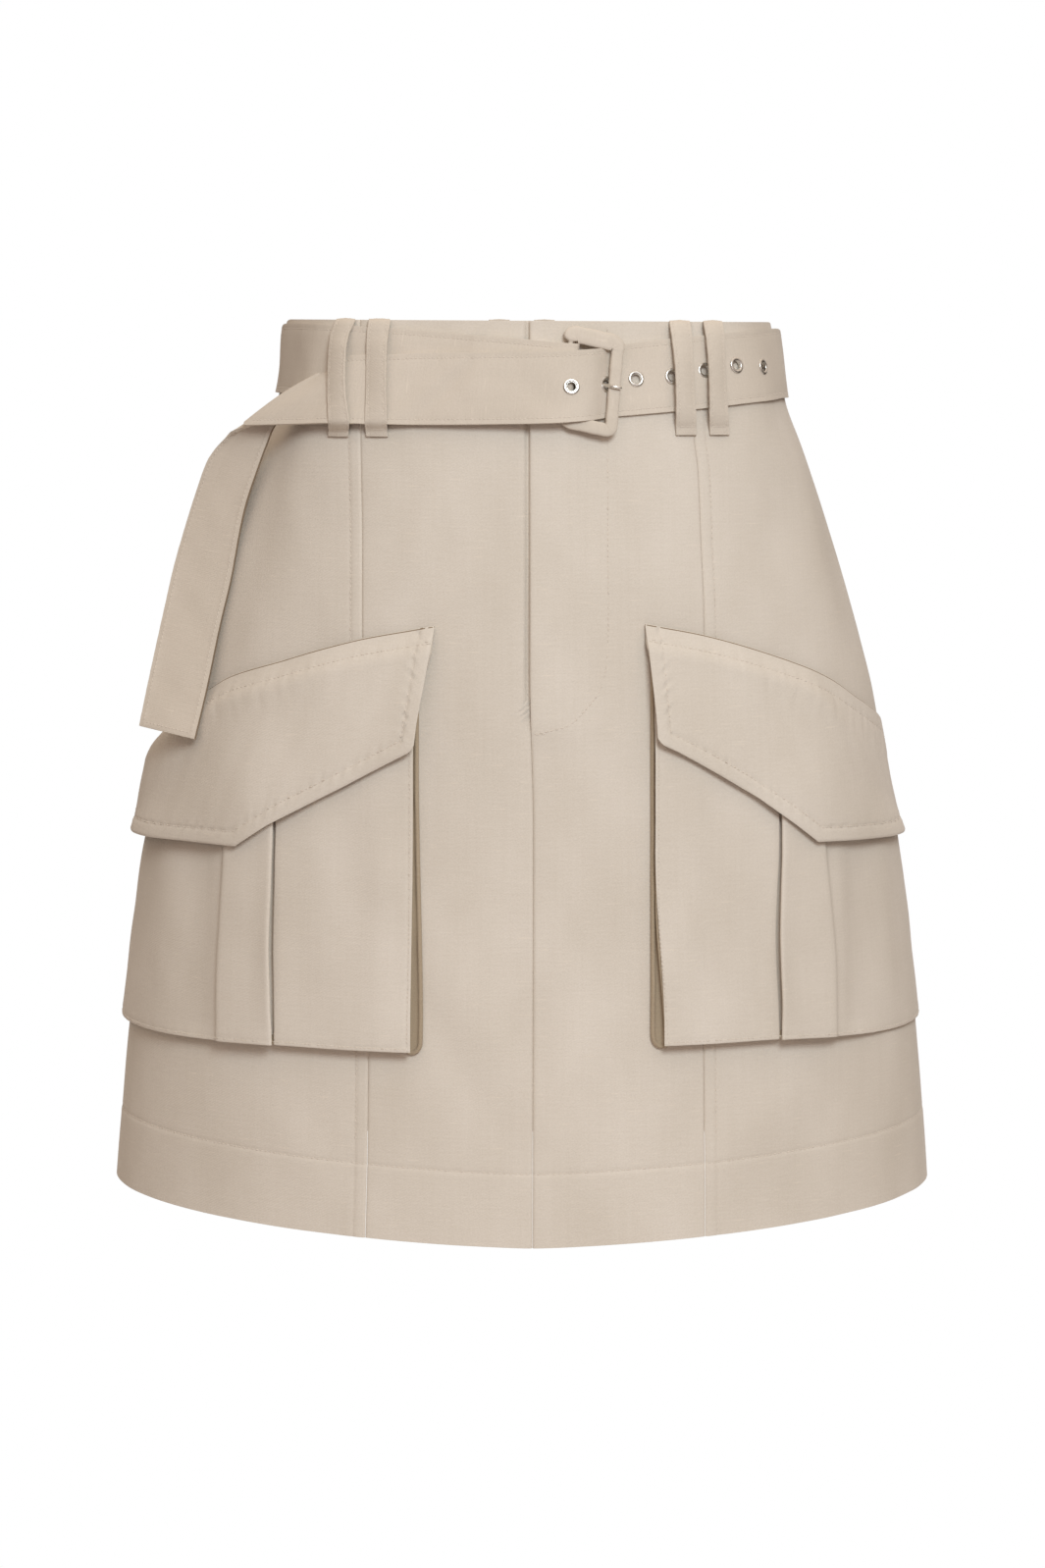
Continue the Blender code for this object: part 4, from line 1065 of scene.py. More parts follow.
def make_flap(side):
    word, top_in, low_in, _, _ = POCKETS[side]
    near = low_in + FLAP_LINES_INSIDE
    inner = np.linspace(near[-1], FLAP_TIP[side], 52)[1:]
    outer = np.linspace(FLAP_TIP[side], FLAP_LOW_EDGE - 9, 60)[1:]
    lows = np.concatenate([near, inner, outer, FLAP_LOW_EDGE - FLAP_LINES_OUTSIDE])
    highs = mix(top_in, FLAP_HIGH_EDGE, (lows - low_in) / (FLAP_LOW_EDGE - low_in))
    # both lower corners are rounded, the outer one more
    rounding = np.clip((lows - FLAP_LOW_EDGE + 7) / 7, 0, 1)
    z_low = flap_bottom(side, lows) + 7 * (1 - np.sqrt(1 - rounding**2))
    z_low = z_low + 2.2 * np.clip(1 - (lows - low_in) / 3.2, 0, 1) ** 2
    share, extra = lines_across(FLAP_LINES_ABOVE, 36, FLAP_LINES_BELOW)
    share, extra = share[:, None], extra[:, None]
    s = mix(highs[None], lows[None], np.clip(share + extra / FLAP_FALL, 0, 1))
    z = mix(flap_top(side, highs)[None], z_low[None], share) - extra
    n = flap_level(side, s, z) + drape(side * s, z)
    if side < 0:
        s, z, n = s[:, ::-1], z[:, ::-1], n[:, ::-1]
    points = on_skirt(side * s, z, n)
    flat = np.stack([side * s + 400, z], -1)
    piece = give_wall(lay_grid(points[::-1], flat[::-1]), FLAP_CLOTH, bevel=0.3)
    name_piece(piece, "pocket_flap_%s_cloth" % word, skirt_twill, ["pocket_flap_" + word])
    # painted shade: the top rim's faces take the darker twill, a painted shadow line along the flap's top
    piece.data.materials.append(fold_painted_shade_twill)
    for face in piece.data.polygons:
        if face.normal.z > RIM_LOOKS_UP:
            from_top = np.linalg.norm(points[0] * MM - np.array(face.center), axis=1).min()
            face.material_index = int(from_top < RIM_REACH * MM)
    return piece


flaps = {side: make_flap(side) for side in (1, -1)}
print("flaps", [len(f.data.polygons) for f in flaps.values()])

# %% [markdown]
# ## The belt
# One long strap of two layers. Its end is sewn round the buckle's pin; from there it runs round
# the waist, comes back through the buckle, over itself and under the loops, folds down over its
# own slanted edge and hangs. The path is a list of lines across the strap, smoothed between.

# %% The belt's path
BELT_WIDTH, BELT_CLOTH = 35.0, 1.5
UNDER = (
    # s     z      n      lean
    (-24.0, -25.2, 1.30, 2.4),
    (-13.0, -25.9, 1.45, 2.8),
    (-5.0, -26.8, 2.65, 3.6),
    (4.0, -27.7, 2.65, 4.4),
    (12.0, -28.4, 2.60, 5.7),
)
OVER = (
    (12.0, -28.4, 7.40, 5.7),
    (3.0, -27.6, 5.75, 4.2),
    (-7.0, -26.6, 4.05, 3.4),
    (-18.0, -25.6, 3.25, 2.6),
    (-28.0, -25.0, 2.95, 2.4),
    (-38.0, -24.2, 1.75, 2.3),
    (-48.0, -23.4, 1.35, 2.2),
    (-60.0, -22.5, 1.35, 2.0),
    (-72.0, -21.7, 1.35, 1.8),
    (-86.0, -21.0, 1.35, 1.5),
    (-100.0, -20.4, 1.35, 1.0),
    (-115.0, -20.0, 1.35, 0.5),
    (-130.0, -19.8, 1.35, 0.0),
    (-145.0, -19.6, 1.35, 0.0),
)
STRAP = (
    (150.0, -20.9, 1.35, -1.0),
    (127.0, -21.8, 1.35, -2.0),
    (106.0, -23.0, 1.35, -2.5),
    (86.0, -24.9, 1.35, -3.0),
    (68.0, -26.6, 1.35, -2.6),
    (57.0, -27.6, 1.35, -0.6),
    (48.0, -28.5, 1.35, 2.4),
    (42.5, -29.1, 1.35, 6.5),
    (39.3, -29.5, 1.45, 7.3),
    (36.8, -29.9, 1.65, 7.2),
    (34.3, -30.2, 2.4, 7.1),
    (31.0, -30.6, 4.7, 6.8),
    (27.0, -31.0, 7.30, 6.5),
    (22.0, -31.4, 8.85, 6.2),
    (16.0, -31.9, 9.50, 5.8),
    (8.0, -32.3, 9.15, 4.4),
    (0.0, -32.6, 7.95, 2.6),
    (-8.0, -32.8, 6.60, 1.6),
    (-18.0, -33.0, 5.55, 0.8),
    (-30.0, -33.3, 4.85, 0.3),
    (-42.0, -33.5, 3.85, 0.0),
    (-56.0, -33.7, 3.40, 0.0),
    (-74.0, -34.1, 3.60, 0.0),
    (-95.0, -34.4, 3.90, 0.0),
)
FOLD_TOP, FOLD_BOTTOM, FOLD_RADIUS = (-101.6, -64.0, -26.2), (-142.6, -49.5, -53.0), 1.7
TAIL = (
    # inner edge x, y, z        outer edge x, y, z
    (-116.0, -55.5, -38.6, -148.1, -41.5, -56.0),
    (-127.8, -50.0, -52.8, -152.4, -35.0, -58.8),
    (-132.2, -47.5, -62.8, -157.2, -29.5, -64.1),
    (-136.6, -46.0, -74.8, -162.5, -26.5, -72.0),
    (-142.1, -46.0, -91.3, -168.2, -25.5, -87.9),
    (-145.4, -47.0, -105.5, -172.9, -27.0, -102.8),
    (-149.8, -50.2, -129.8, -179.1, -30.5, -124.5),
    (-155.2, -54.0, -152.7, -184.3, -35.5, -147.8),
    (-161.7, -61.5, -184.2, -191.0, -43.0, -179.1),
    (-167.5, -68.0, -209.0, -196.0, -49.5, -204.0),
)
# parts of the way across the strap, from its top edge down, closest by the edges
BY_TOP = (0, 0.012, 0.035, 0.055, 0.072, 0.09, 0.13, 0.2)
BY_LOW = (0.8, 0.87, 0.91, 0.928, 0.945, 0.965, 0.988, 1)
ACROSS = np.array([*BY_TOP, 0.3, 0.4, 0.5, 0.6, 0.7, *BY_LOW])
EDGE_ROW, SIDE_TILT, FOLD_TILT, FOLD_BOW = 2.5, 2.2, 4.6, 2.0


def side_tilt(turn):
    """On the wearer's left side the belt's top edge stands off more than its lower one."""
    from_side = np.mod(turn, 2 * math.pi) - math.pi / 2
    return SIDE_TILT * np.exp(-((from_side / 0.42) ** 2)) * (1 - ACROSS)


def near_fold(s):
    return smooth((-s - 52) / 43)


def cross(s, z, n, lean, width=BELT_WIDTH):
    turn = turn_at(s, z)
    height = z + (0.5 - ACROSS) * width
    return on_skirt(arc_at(turn, height) + (0.5 - ACROSS) * lean, height, n + side_tilt(turn))


def between(top, bottom):
    top, bottom = np.asarray(top, float), np.asarray(bottom, float)
    return top + (bottom - top) * ACROSS[:, None]


def belt_lines():
    """Lines across the belt, each named for its stretch."""
    lines = [("under", cross(*row)) for row in UNDER]
    radius = 1.2 + 0.45 + BELT_CLOTH / 2
    for turn in np.radians(np.arange(22.5, 180, 22.5)):
        out = 5.0 - radius * math.cos(turn)
        lines.append(("pin", cross(16.35 + radius * math.sin(turn), -28.6, out, 6.0)))
    lines += [("over", cross(*row)) for row in OVER]
    start, end = turn_at(*OVER[-1][:2]), turn_at(*STRAP[0][:2]) - 2 * math.pi
    for part in np.linspace(0, 1, 39)[1:-1]:
        z = mix(OVER[-1][1], STRAP[0][1], smooth(part)) + (0.5 - ACROSS) * BELT_WIDTH
        turn = mix(start, end, part)
        lines.append(("back", ring(turn, z, OVER[-1][2] + side_tilt(turn))))
    for s, z, n, lean in STRAP:
        # towards the fold the strap leans back, its lower edge out, and is a little narrower
        back, width = FOLD_TILT * near_fold(s) * (ACROSS - 0.25), BELT_WIDTH * (1 - 0.06 * near_fold(s))
        lines.append(("strap", cross(s, z, n + back, lean, width)))
    top, bottom, last = np.array(FOLD_TOP), np.array(FOLD_BOTTOM), lines[-1][1]
    bow = np.outer(np.sin(math.pi * ACROSS), (0, 0, FOLD_BOW))
    for part in (0.35, 0.7, 1.0):
        ends = mix(last[0], top, part), mix(last[-1], bottom, part)
        lines.append(("strap", between(*ends) + part * bow))
    axis = unit(bottom - top)
    inward = np.array([0.5, math.sqrt(0.75), 0.0])
    inward = unit(inward - inward.dot(axis) * axis)
    onward = np.cross(axis, inward)
    onward = -onward if onward[0] > 0 else onward
    for turn in np.radians(np.arange(22.5, 181, 22.5)):
        shift = FOLD_RADIUS * ((1 - math.cos(turn)) * inward + math.sin(turn) * onward)
        lines.append(("fold", between(top + shift, bottom + shift) + bow))
    for row, bowed in zip(TAIL, (0.6, 0.2) + (0.0,) * len(TAIL)):
        lines.append(("tail", between(row[:3], row[3:]) + bowed * bow))
    return lines


def finer(lines, step=2.4):
    """Smooth rows between the given ones, no further apart than a step; and the run of each."""
    rows = np.array(lines)
    middle = rows[:, rows.shape[1] // 2]
    steps = np.linalg.norm(np.diff(middle, axis=0), axis=1)
    run = np.concatenate([[0], np.cumsum(np.maximum(steps, 0.05))])
    fine, places, source = [rows[0]], [0.0], [0]
    for k in range(len(rows) - 1):
        before, after = max(k - 1, 0), min(k + 2, len(rows) - 1)
        span = run[k + 1] - run[k]
        rise = span * (rows[k + 1] - rows[before]) / (run[k + 1] - run[before])
        fall = span * (rows[after] - rows[k]) / (run[after] - run[k])
        count = max(1, math.ceil(span / step))
        for t in np.arange(1, count + 1) / count:
            fine.append(bend(t, rows[k], rows[k + 1], rise, fall))
            places.append(run[k] + t * span)
            source.append(k)
    return np.array(fine), np.array(places), source


def grid_normals(points):
    along_rows = np.gradient(points, axis=0)
    over = np.gradient(points, axis=1)
    return unit(np.cross(along_rows, over))


# %% The strap's surface, with its edge stitching and soft dents
named = belt_lines()
belt_rows, belt_run, source = finer([line for _, line in named])
stretch = np.array([named[k][0] for k in source])
belt_out = grid_normals(belt_rows)
width_mm = ACROSS * BELT_WIDTH


def belt_dents(run, across):
    """Heights over the strap's face: furrows by both edges and shallow dents."""
    from_edge = np.minimum(across, BELT_WIDTH - across)
    waves = 0.24 * ripple(run, 8, 0.4) * np.exp(-((from_edge - EDGE_ROW) / 2.6) ** 2)
    pull = -0.13 * np.exp(-(((from_edge - EDGE_ROW) / 0.8) ** 2))
    soft = 0.35 * ripple(run + 0.6 * across, 58, 1.1) * np.sin(np.pi * across / BELT_WIDTH)
    return pull + waves + soft


run_grid, across_grid = np.meshgrid(belt_run, width_mm, indexing="ij")
dents = belt_dents(run_grid, across_grid)
strap_start = belt_run[stretch == "strap"][0]
BELT_DENTS = (
    # along the strap, across it, half length, half width, lean, height
    (196, 15, 14, 5, 0.9, -0.75),
    (206, 18, 16, 6, 0.9, 0.45),
    (240, 22, 12, 9, 0.2, -0.5),
    (150, 22, 20, 6, -0.4, -0.35),
    (60, 20, 10, 9, 0.0, 0.35),
    (275, 24, 14, 7, 0.8, 0.45),
)
for offset, across0, half_run, half_across, lean, height in BELT_DENTS:
    along_dent = run_grid - strap_start - offset
    away = across_grid - across0 - lean * along_dent
    dents += 1.6 * height * np.exp(-((along_dent / half_run) ** 2) - (away / half_across) ** 2)
dents = dents * np.where(np.isin(stretch, ["fold", "pin"]), 0.2, 1.0)[:, None]
belt_points = belt_rows + belt_out * dents[..., None]
at_back = stretch == "back"
outward = np.mean(np.sum(belt_out[at_back, 10] * unit(belt_rows[at_back, 10] * [1, 1, 0]), axis=1))
print("belt %.0f mm long in %d rows; outward %.2f" % (belt_run[-1], len(belt_run), outward))


# %% [markdown]
# ## Eyelets
# Each is a stamped ring: a rolled rim over the cloth and a short barrel through it. The rim is a
# flattened torus and the barrel an open cylinder, made once and copied to each hole.

# %% One eyelet, and the strap's own frame at each hole
EYELETS = (
    # s and z of each
    (17.0, -32.0), (35.4, -31.0), (50.6, -28.3), (69.9, -27.1),
    (87.4, -24.3), (106.0, -21.6), (127.4, -22.4),
)
RIM_RADIUS, RIM_WIRE, RIM_FLATNESS, RIM_HEIGHT = 3.22, 0.86, 0.62, 1.05
BARREL_RADIUS, BARREL_LENGTH, BARREL_WALL, HOLE_RADIUS = 2.55, 1.5, 0.25, 2.75


def strap_frame(s, z):
    """A place on the strap with its directions along, up and out."""

    def at(a, b):
        return on_skirt(a, b, curve(STRAP, a, 2))

    here = at(s, z)
    run = unit(at(s + 1.0, z) - at(s - 1.0, z))
    out = unit(np.cross(run, unit(at(s, z + 1.0) - here)))
    return here, run, np.cross(out, run), out


def to_frame(here, run, up_way, out):
    turn = Matrix(np.stack([run, up_way, out], 1).tolist()).to_4x4()
    return Matrix.Translation(Vector(here) * MM) @ turn


radii = {"major_radius": RIM_RADIUS * MM, "minor_radius": RIM_WIRE * MM}
rim = clean_add(bpy.ops.mesh.primitive_torus_add, major_segments=40, minor_segments=14, **radii)
rim.scale.z = RIM_FLATNESS
bpy.ops.object.transform_apply(scale=True)
rim.location.z = RIM_HEIGHT * MM
bpy.ops.object.transform_apply(location=True)
tube = {"radius": BARREL_RADIUS * MM, "depth": BARREL_LENGTH * MM, "end_fill_type": "NOTHING"}
tube["location"] = (0, 0, 0.4 * MM)
barrel = clean_add(bpy.ops.mesh.primitive_cylinder_add, vertices=40, **tube)
bpy.ops.object.transform_apply(location=True)
apply(barrel, "SOLIDIFY", thickness=BARREL_WALL * MM, offset=-1.0)
rim.select_set(True)
bpy.context.view_layer.objects.active = rim
barrel.select_set(True)
bpy.ops.object.join()
bpy.ops.object.shade_smooth_by_angle(angle=math.radians(40))
for k, place in enumerate(EYELETS):
    ringlet = bpy.data.objects.new("eyelet", rim.data.copy())
    bpy.context.scene.collection.objects.link(ringlet)
    ringlet.data.transform(to_frame(*strap_frame(*place)))
    name_piece(ringlet, "eyelet_%d_ring" % (k + 1), nickel, ["eyelet_%d" % (k + 1)])
bpy.data.objects.remove(rim)

# %% Sew the belt and punch its holes
# the hanging end's inner edge lies in its own shade: how its faces look, and where they lie (m)
EDGE_LOOKS_LEFT, HANGS_BEYOND, HANGS_BELOW = 0.55, -0.115, -0.04
belt_uv = np.stack([across_grid, run_grid], -1)
way = 1 if outward > 0 else -1
belt = give_wall(lay_grid(belt_points[:, ::way], belt_uv[:, ::way]), BELT_CLOTH, 0.0, 0.28)
for place in EYELETS:
    hole = {"radius": HOLE_RADIUS * MM, "depth": 3.0 * MM}
    punch = clean_add(bpy.ops.mesh.primitive_cylinder_add, vertices=32, **hole)
    punch.data.transform(to_frame(*strap_frame(*place)))
    apply(belt, "BOOLEAN", operation="DIFFERENCE", solver="EXACT", object=punch)
    bpy.data.objects.remove(punch)
name_piece(belt, "belt_strap", belt_twill, ["belt"])
# painted shade: faces of the hanging end that look to the wearer's left take the darker twill
belt.data.materials.append(fold_painted_shade_twill)
for face in belt.data.polygons:
    hangs = face.center.x < HANGS_BEYOND and face.center.z < HANGS_BELOW
    face.material_index = int(hangs and face.normal.x > EDGE_LOOKS_LEFT)
print("belt", len(belt.data.polygons), "faces")

# %% [markdown]
# ## Covered buckle and prong
# The buckle is a rounded frame wrapped in the belt's cloth, with a bare pin that the strap is
# sewn round. A torus has the right topology: its two angles become the way round the frame and
# round its section. The prong is a bent wire, blunt at its tip.

# %% Buckle
BUCKLE_S, BUCKLE_Z = 27.3, -29.85
BUCKLE_FALL, BUCKLE_LEAN = math.radians(12.0), math.radians(4.7)
BUCKLE_HALF, BUCKLE_CORNER, PIN_RADIUS, PIN_HALF = (11.5, 21.4), 3.2, 1.2, 18.0
BAR_WIDE, BAR_DEEP, TOP_BAR, LOW_BAR = 2.95, 1.8, 4.3, 3.3
BUCKLE_HEIGHT = (5.0, 5.6)  # at the pin's side and at the other
COVER_ROUND = 17.0  # mm of cloth round the bar


def buckle_place(u, v, n):
    s = BUCKLE_S + u * math.cos(BUCKLE_FALL) + v * math.sin(BUCKLE_LEAN)
    return on_skirt(s, BUCKLE_Z - u * math.sin(BUCKLE_FALL) + v * math.cos(BUCKLE_LEAN), n)


def buckle_route(count=220):
    """Even places round the frame's middle line, with the direction out of the frame."""
    half_u, half_v = BUCKLE_HALF
    dense = []
    for sign_u, sign_v, start in ((1, 1, 0), (-1, 1, 90), (-1, -1, 180), (1, -1, 270)):
        for turn in np.radians(np.linspace(start, start + 90, 12)):
            u = sign_u * (half_u - BUCKLE_CORNER) + BUCKLE_CORNER * math.cos(turn)
            v = sign_v * (half_v - BUCKLE_CORNER) + BUCKLE_CORNER * math.sin(turn)
            dense.append((u, v, math.cos(turn), math.sin(turn)))
    dense = np.array(dense + dense[:1])
    run = np.concatenate([[0], np.cumsum(np.hypot(*np.diff(dense[:, :2], axis=0).T))])
    where = np.linspace(0, run[-1], count + 1)[:-1]
    return [np.interp(where, run, dense[:, k]) for k in range(4)], where, run[-1]


ROUND, SECTION_SIDES = 220, 20
cells = {"major_segments": ROUND, "minor_segments": SECTION_SIDES}
frame_ring = clean_add(bpy.ops.mesh.primitive_torus_add, major_radius=1, minor_radius=0.3, **cells)
(route_u, route_v, out_u, out_v), where, total = buckle_route(ROUND)
flat = np.array([v.co for v in frame_ring.data.vertices])
big = np.rint(np.arctan2(flat[:, 1], flat[:, 0]) / (2 * math.pi) * ROUND).astype(int) % ROUND
small = np.arctan2(flat[:, 2], np.hypot(flat[:, 0], flat[:, 1]) - 1)
u, v, ou, ov = route_u[big], route_v[big], out_u[big], out_v[big]
bare = smooth((PIN_HALF + 0.6 - np.abs(v)) / 1.2) * (u < 0)
power = mix(0.58, 1.0, bare)
covered = mix(BAR_WIDE, np.where(v > 0, TOP_BAR, LOW_BAR), smooth((np.abs(v) - 17.6) / 2.6))
half_wide, half_deep = mix(covered, PIN_RADIUS, bare), mix(BAR_DEEP, PIN_RADIUS, bare)
side_way = np.sign(np.cos(small)) * np.abs(np.cos(small)) ** power
rise = np.sign(np.sin(small)) * np.abs(np.sin(small)) ** power
from_corner = [(np.abs(k) - half + 1.5) / 3 for k, half in zip((u, v), BUCKLE_HALF)]
in_corner = np.exp(-(from_corner[0] ** 2) - from_corner[1] ** 2)
tuck = 0.16 * np.sin(where[big] * 3.1) * in_corner * (1 - bare) * (0.4 - 0.6 * side_way)
swell = 0.12 * ripple(where[big], 13, 1.0) * (1 - bare) + tuck
reach = side_way * (half_wide + swell)
level = mix(*BUCKLE_HEIGHT, (u / BUCKLE_HALF[0] + 1) / 2) + rise * (half_deep + swell)
places = buckle_place(u + reach * ou, v + reach * ov, level) * MM
frame_ring.data.vertices.foreach_set("co", places.ravel())
uv_layer = frame_ring.data.uv_layers[0]
uvs = np.zeros(len(frame_ring.data.loops) * 2)
uv_layer.data.foreach_get("uv", uvs)
cover = uvs.reshape(-1, 2) * [total * MM, COVER_ROUND * MM]
uv_layer.data.foreach_set("uv", cover.ravel())
frame_ring.data.update()
frame_ring.data.shade_smooth()
name_piece(frame_ring, "buckle_covered", belt_twill, ["buckle_frame"])

# %% Prong
PRONG = (
    # s and height over the skirt
    (17.6, 5.0), (19.0, 5.2), (20.6, 4.7), (26.0, 3.9), (30.0, 2.9), (32.4, 2.6),
    (34.1, 4.0), (35.3, 6.4), (36.8, 8.4), (39.0, 8.9), (41.6, 8.6),
)
PRONG_Z, PRONG_FALL, PRONG_RADIUS, PRONG_STEPS = -31.1, 0.17, 1.05, 60


def wire(centres, radii, around=16):
    """A round wire along a line of points, closed to a point at both ends."""
    run = unit(np.gradient(centres, axis=0))
    side = np.broadcast_to([0.0, 0.0, 1.0], run.shape)
    up_way = unit(np.cross(run, side))
    side = np.cross(up_way, run)
    turn = np.linspace(0, 2 * math.pi, around + 1)
    spread = np.cos(turn)[None, :, None] * side[:, None] + np.sin(turn)[None, :, None] * up_way[:, None]
    points = centres[:, None] + radii[:, None, None] * spread
    length = np.arange(len(centres)) * 0.5
    uv = np.stack(np.broadcast_arrays(turn[None] * 1.0, length[:, None]), -1)
    made = lay_grid(points, uv)
    bpy.ops.object.mode_set(mode="EDIT")
    bpy.ops.mesh.select_all(action="SELECT")
    bpy.ops.mesh.remove_doubles(threshold=1e-6)
    bpy.ops.mesh.normals_make_consistent(inside=False)
    bpy.ops.object.mode_set(mode="OBJECT")
    made.data.shade_smooth()
    return made


fine_s = np.linspace(PRONG[0][0], PRONG[-1][0], PRONG_STEPS)
prong_line = on_skirt(fine_s, PRONG_Z - PRONG_FALL * (fine_s - 33), curve(PRONG, fine_s))
steps = np.arange(PRONG_STEPS)
blunt = np.sqrt(1 - (1 - np.clip(np.minimum(steps, steps[::-1]) / 3, 0, 1)) ** 2)
prong = wire(prong_line, PRONG_RADIUS * blunt * mix(1.0, 0.85, np.linspace(0, 1, PRONG_STEPS)))
name_piece(prong, "buckle_prong_wire", nickel, ["buckle_prong"])
print("buckle and prong made")

# %% [markdown]
# ## Belt loops
# A loop is a narrow strip stitched along both edges. It is folded over the waist edge, stands
# round the belt and is turned under and bar-tacked at its foot.

# %% Loops
LOOP_WIDTH, LOOP_CLOTH = 11.0, 1.25
LOOP_TOP = ((-0.25, -1.2), (-0.2, 0.1), (-0.5, 1.7), (-2.3, 3.0))
# a loop's profile as z and height, over one layer of the belt, over two and beside its fold
OVER_ONE = LOOP_TOP + (
    (-7.0, 4.6), (-22.0, 6.0), (-38.0, 5.8), (-45.5, 4.8), (-50.0, 3.0), (-53.0, 1.5), (-55.8, 0.95),
)
OVER_TWO = LOOP_TOP + (
    (-7.0, 3.9), (-14.5, 5.3), (-34.0, 6.6), (-49.5, 6.6), (-52.0, 4.4), (-54.8, 1.6), (-57.2, 0.95),
)
OVER_FOLD = LOOP_TOP + (
    (-7.0, 4.2), (-14.5, 6.2), (-34.0, 7.9), (-49.5, 8.6), (-52.4, 5.6), (-55.0, 2.0), (-57.4, 0.95),
)
LOOPS = (
    # node, its middle line as z and s, profile
    (
        "belt_loop_right_outer",
        ((0, -93.0), (-9.6, -97.2), (-26.5, -98.3), (-38.6, -98.2), (-56, -96.2)),
        OVER_FOLD,
    ),
    (
        "belt_loop_right_inner",
        ((0, -75.0), (-11, -76.7), (-32, -77.4), (-50, -77.4), (-57.4, -75.9)),
        OVER_TWO,
    ),
    (
        "belt_loop_left_inner",
        ((0, 72.4), (-8, 73.6), (-23, 75.0), (-44, 75.6), (-56, 75.4)),
        OVER_ONE,
    ),
    (
        "belt_loop_left_outer",
        ((0, 90.4), (-10, 92.0), (-28, 92.8), (-54.5, 93.4)),
        OVER_ONE,
    ),
    # at the back only the distance from the centre back
    ("belt_loop_back_left", 12.0, OVER_ONE),
    ("belt_loop_back_right", -12.0, OVER_ONE),
)
LOOP_LIFT = 3.0  # how much more a loop stands off at its edge towards the centre front
LOOP_SLANT = 0.0075  # it leans away from the centre front where it lies closer to the skirt
LOOP_LINES = (0, 0.3, 0.9, 1.5, 2.2, 3.5, 5.5, 7.5, 8.8, 9.5, 10.1, 10.7, 11.0)
LOOP_ACROSS = np.array(LOOP_LINES) - LOOP_WIDTH / 2
loop_surfaces = {}


def make_loop(node_name, line, profile):
    rows = []
    for z, n in profile:
        if isinstance(line, tuple):
            middle = float(curve(line, min(z, 0.0))) * (1 + LOOP_SLANT * (4.5 - n))
            stands = LOOP_LIFT * np.exp(-(((z + 27) / 19) ** 4))
        else:
            middle, stands = float(arc_at(math.pi, z)) - line, 0.0
        tilt = np.sign(middle) * stands * LOOP_ACROSS / LOOP_WIDTH
        rows.append(on_skirt(middle + LOOP_ACROSS, z, n - tilt))
    points, run, _ = finer(rows, 1.3)
    out = grid_normals(points)
    if out[len(out) // 2, 6].dot(points[len(out) // 2, 6] * [1, 1, 0]) < 0:
        out = -out
    from_edge = LOOP_WIDTH / 2 - np.abs(LOOP_ACROSS)
    lumps = 0.12 * ripple(run[:, None] + 2 * from_edge[None], 8, rows[0][0, 0])
    lumps = lumps - 0.12 * np.exp(-(((from_edge - 1.6) / 0.6) ** 2))[None]
    lumps = lumps - 0.3 * np.exp(-(((run - run[-1] + 4.5) / 1.2) ** 2))[:, None]
    swell = 0.25 * np.sin(np.pi * (LOOP_ACROSS / LOOP_WIDTH + 0.5))[None]
    points = points + out * (lumps + swell)[..., None]
    uv = np.stack(np.meshgrid(LOOP_ACROSS + 3 * rows[0][0, 0], run), -1)
    piece = give_wall(lay_grid(points[::-1], uv[::-1]), LOOP_CLOTH, 0.0, 0.28)
    name_piece(piece, node_name + "_strip", belt_twill, [node_name])
    loop_surfaces[node_name] = (points + out * LOOP_CLOTH / 2, run)
    return piece


loops = [make_loop(*row) for row in LOOPS]
print("loops", [len(p.data.polygons) for p in loops])

# %% [markdown]
# ## Sewing it together
# Every row of stitches follows the piece that it holds: its path is given in the piece's own
# coordinates and each stitch is set on that piece's surface.

# %% Rows on the panels
def on_panel(height):
    return lambda s, z: on_skirt(s, z, height(s, z) + 0.02)


def on_back(place, z):
    """The back's surface, with its angle counted in steps of about a millimetre."""
    turn = np.asarray(place) / BACK_RADIUS
    return ring(turn, z, back_height(turn, arc_round(turn, z), z) + 0.02)


SEAM_LEVEL, HEM_LEVEL = -400, -443  # heights at which the seams and the hem are placed
hem_top = -LENGTH + HEM_RISE + HEM_DEPTH  # the hem's stitches, at the sides
left_end, right_end = float(left_seam(SEAM_LEVEL)), float(right_seam(SEAM_LEVEL))
side_end = float(arc_at(SIDE, hem_top))
hem_routes = []
for height, first, last, count in (
    (front_left_height, 1.3, left_end - 1, 60),
    (front_right_height, right_end + 1, -1.7, 60),
    (left_side_height, left_end + 1, side_end - 1, 80),
    (right_side_height, right_end - 1, 1 - side_end, 80),
):
    s = np.linspace(first, last, count)
    hem_routes.append((on_panel(height), s, hem_at(turn_at(s, HEM_LEVEL)) + HEM_DEPTH))
turn = np.linspace(SIDE + 0.01, 2 * math.pi - SIDE - 0.01, 240)
hem_routes.append((on_back, turn * BACK_RADIUS, hem_at(turn) + HEM_DEPTH))
hem_stitching = stitch_rows("hem_stitching", hem_routes)

z = np.arange(-56, hem_top + 4, -2.0)
seam_stitching = stitch_rows("side_front_stitching", [
    (on_panel(left_side_height), left_seam(z) + SEAM_STITCH, z),
    (on_panel(right_side_height), right_seam(z) - SEAM_STITCH, z),
])
z = np.concatenate([np.linspace(-200.9, -159, 40), np.arange(-157, -2, 2.0)])
fly_stitching = stitch_rows("fly_stitching", [(on_panel(front_left_height), curve(FLY_ROW, z), z)])
tack = np.linspace(-0.2, 4.8, 12)
tack_row = on_panel(front_left_height), np.abs(tack) + 0.2, -FLY_END + 0.2 + 0.04 * tack
fly_tack = stitch_rows("fly_bartack", [tack_row], size=0.8, pitch=1.0)

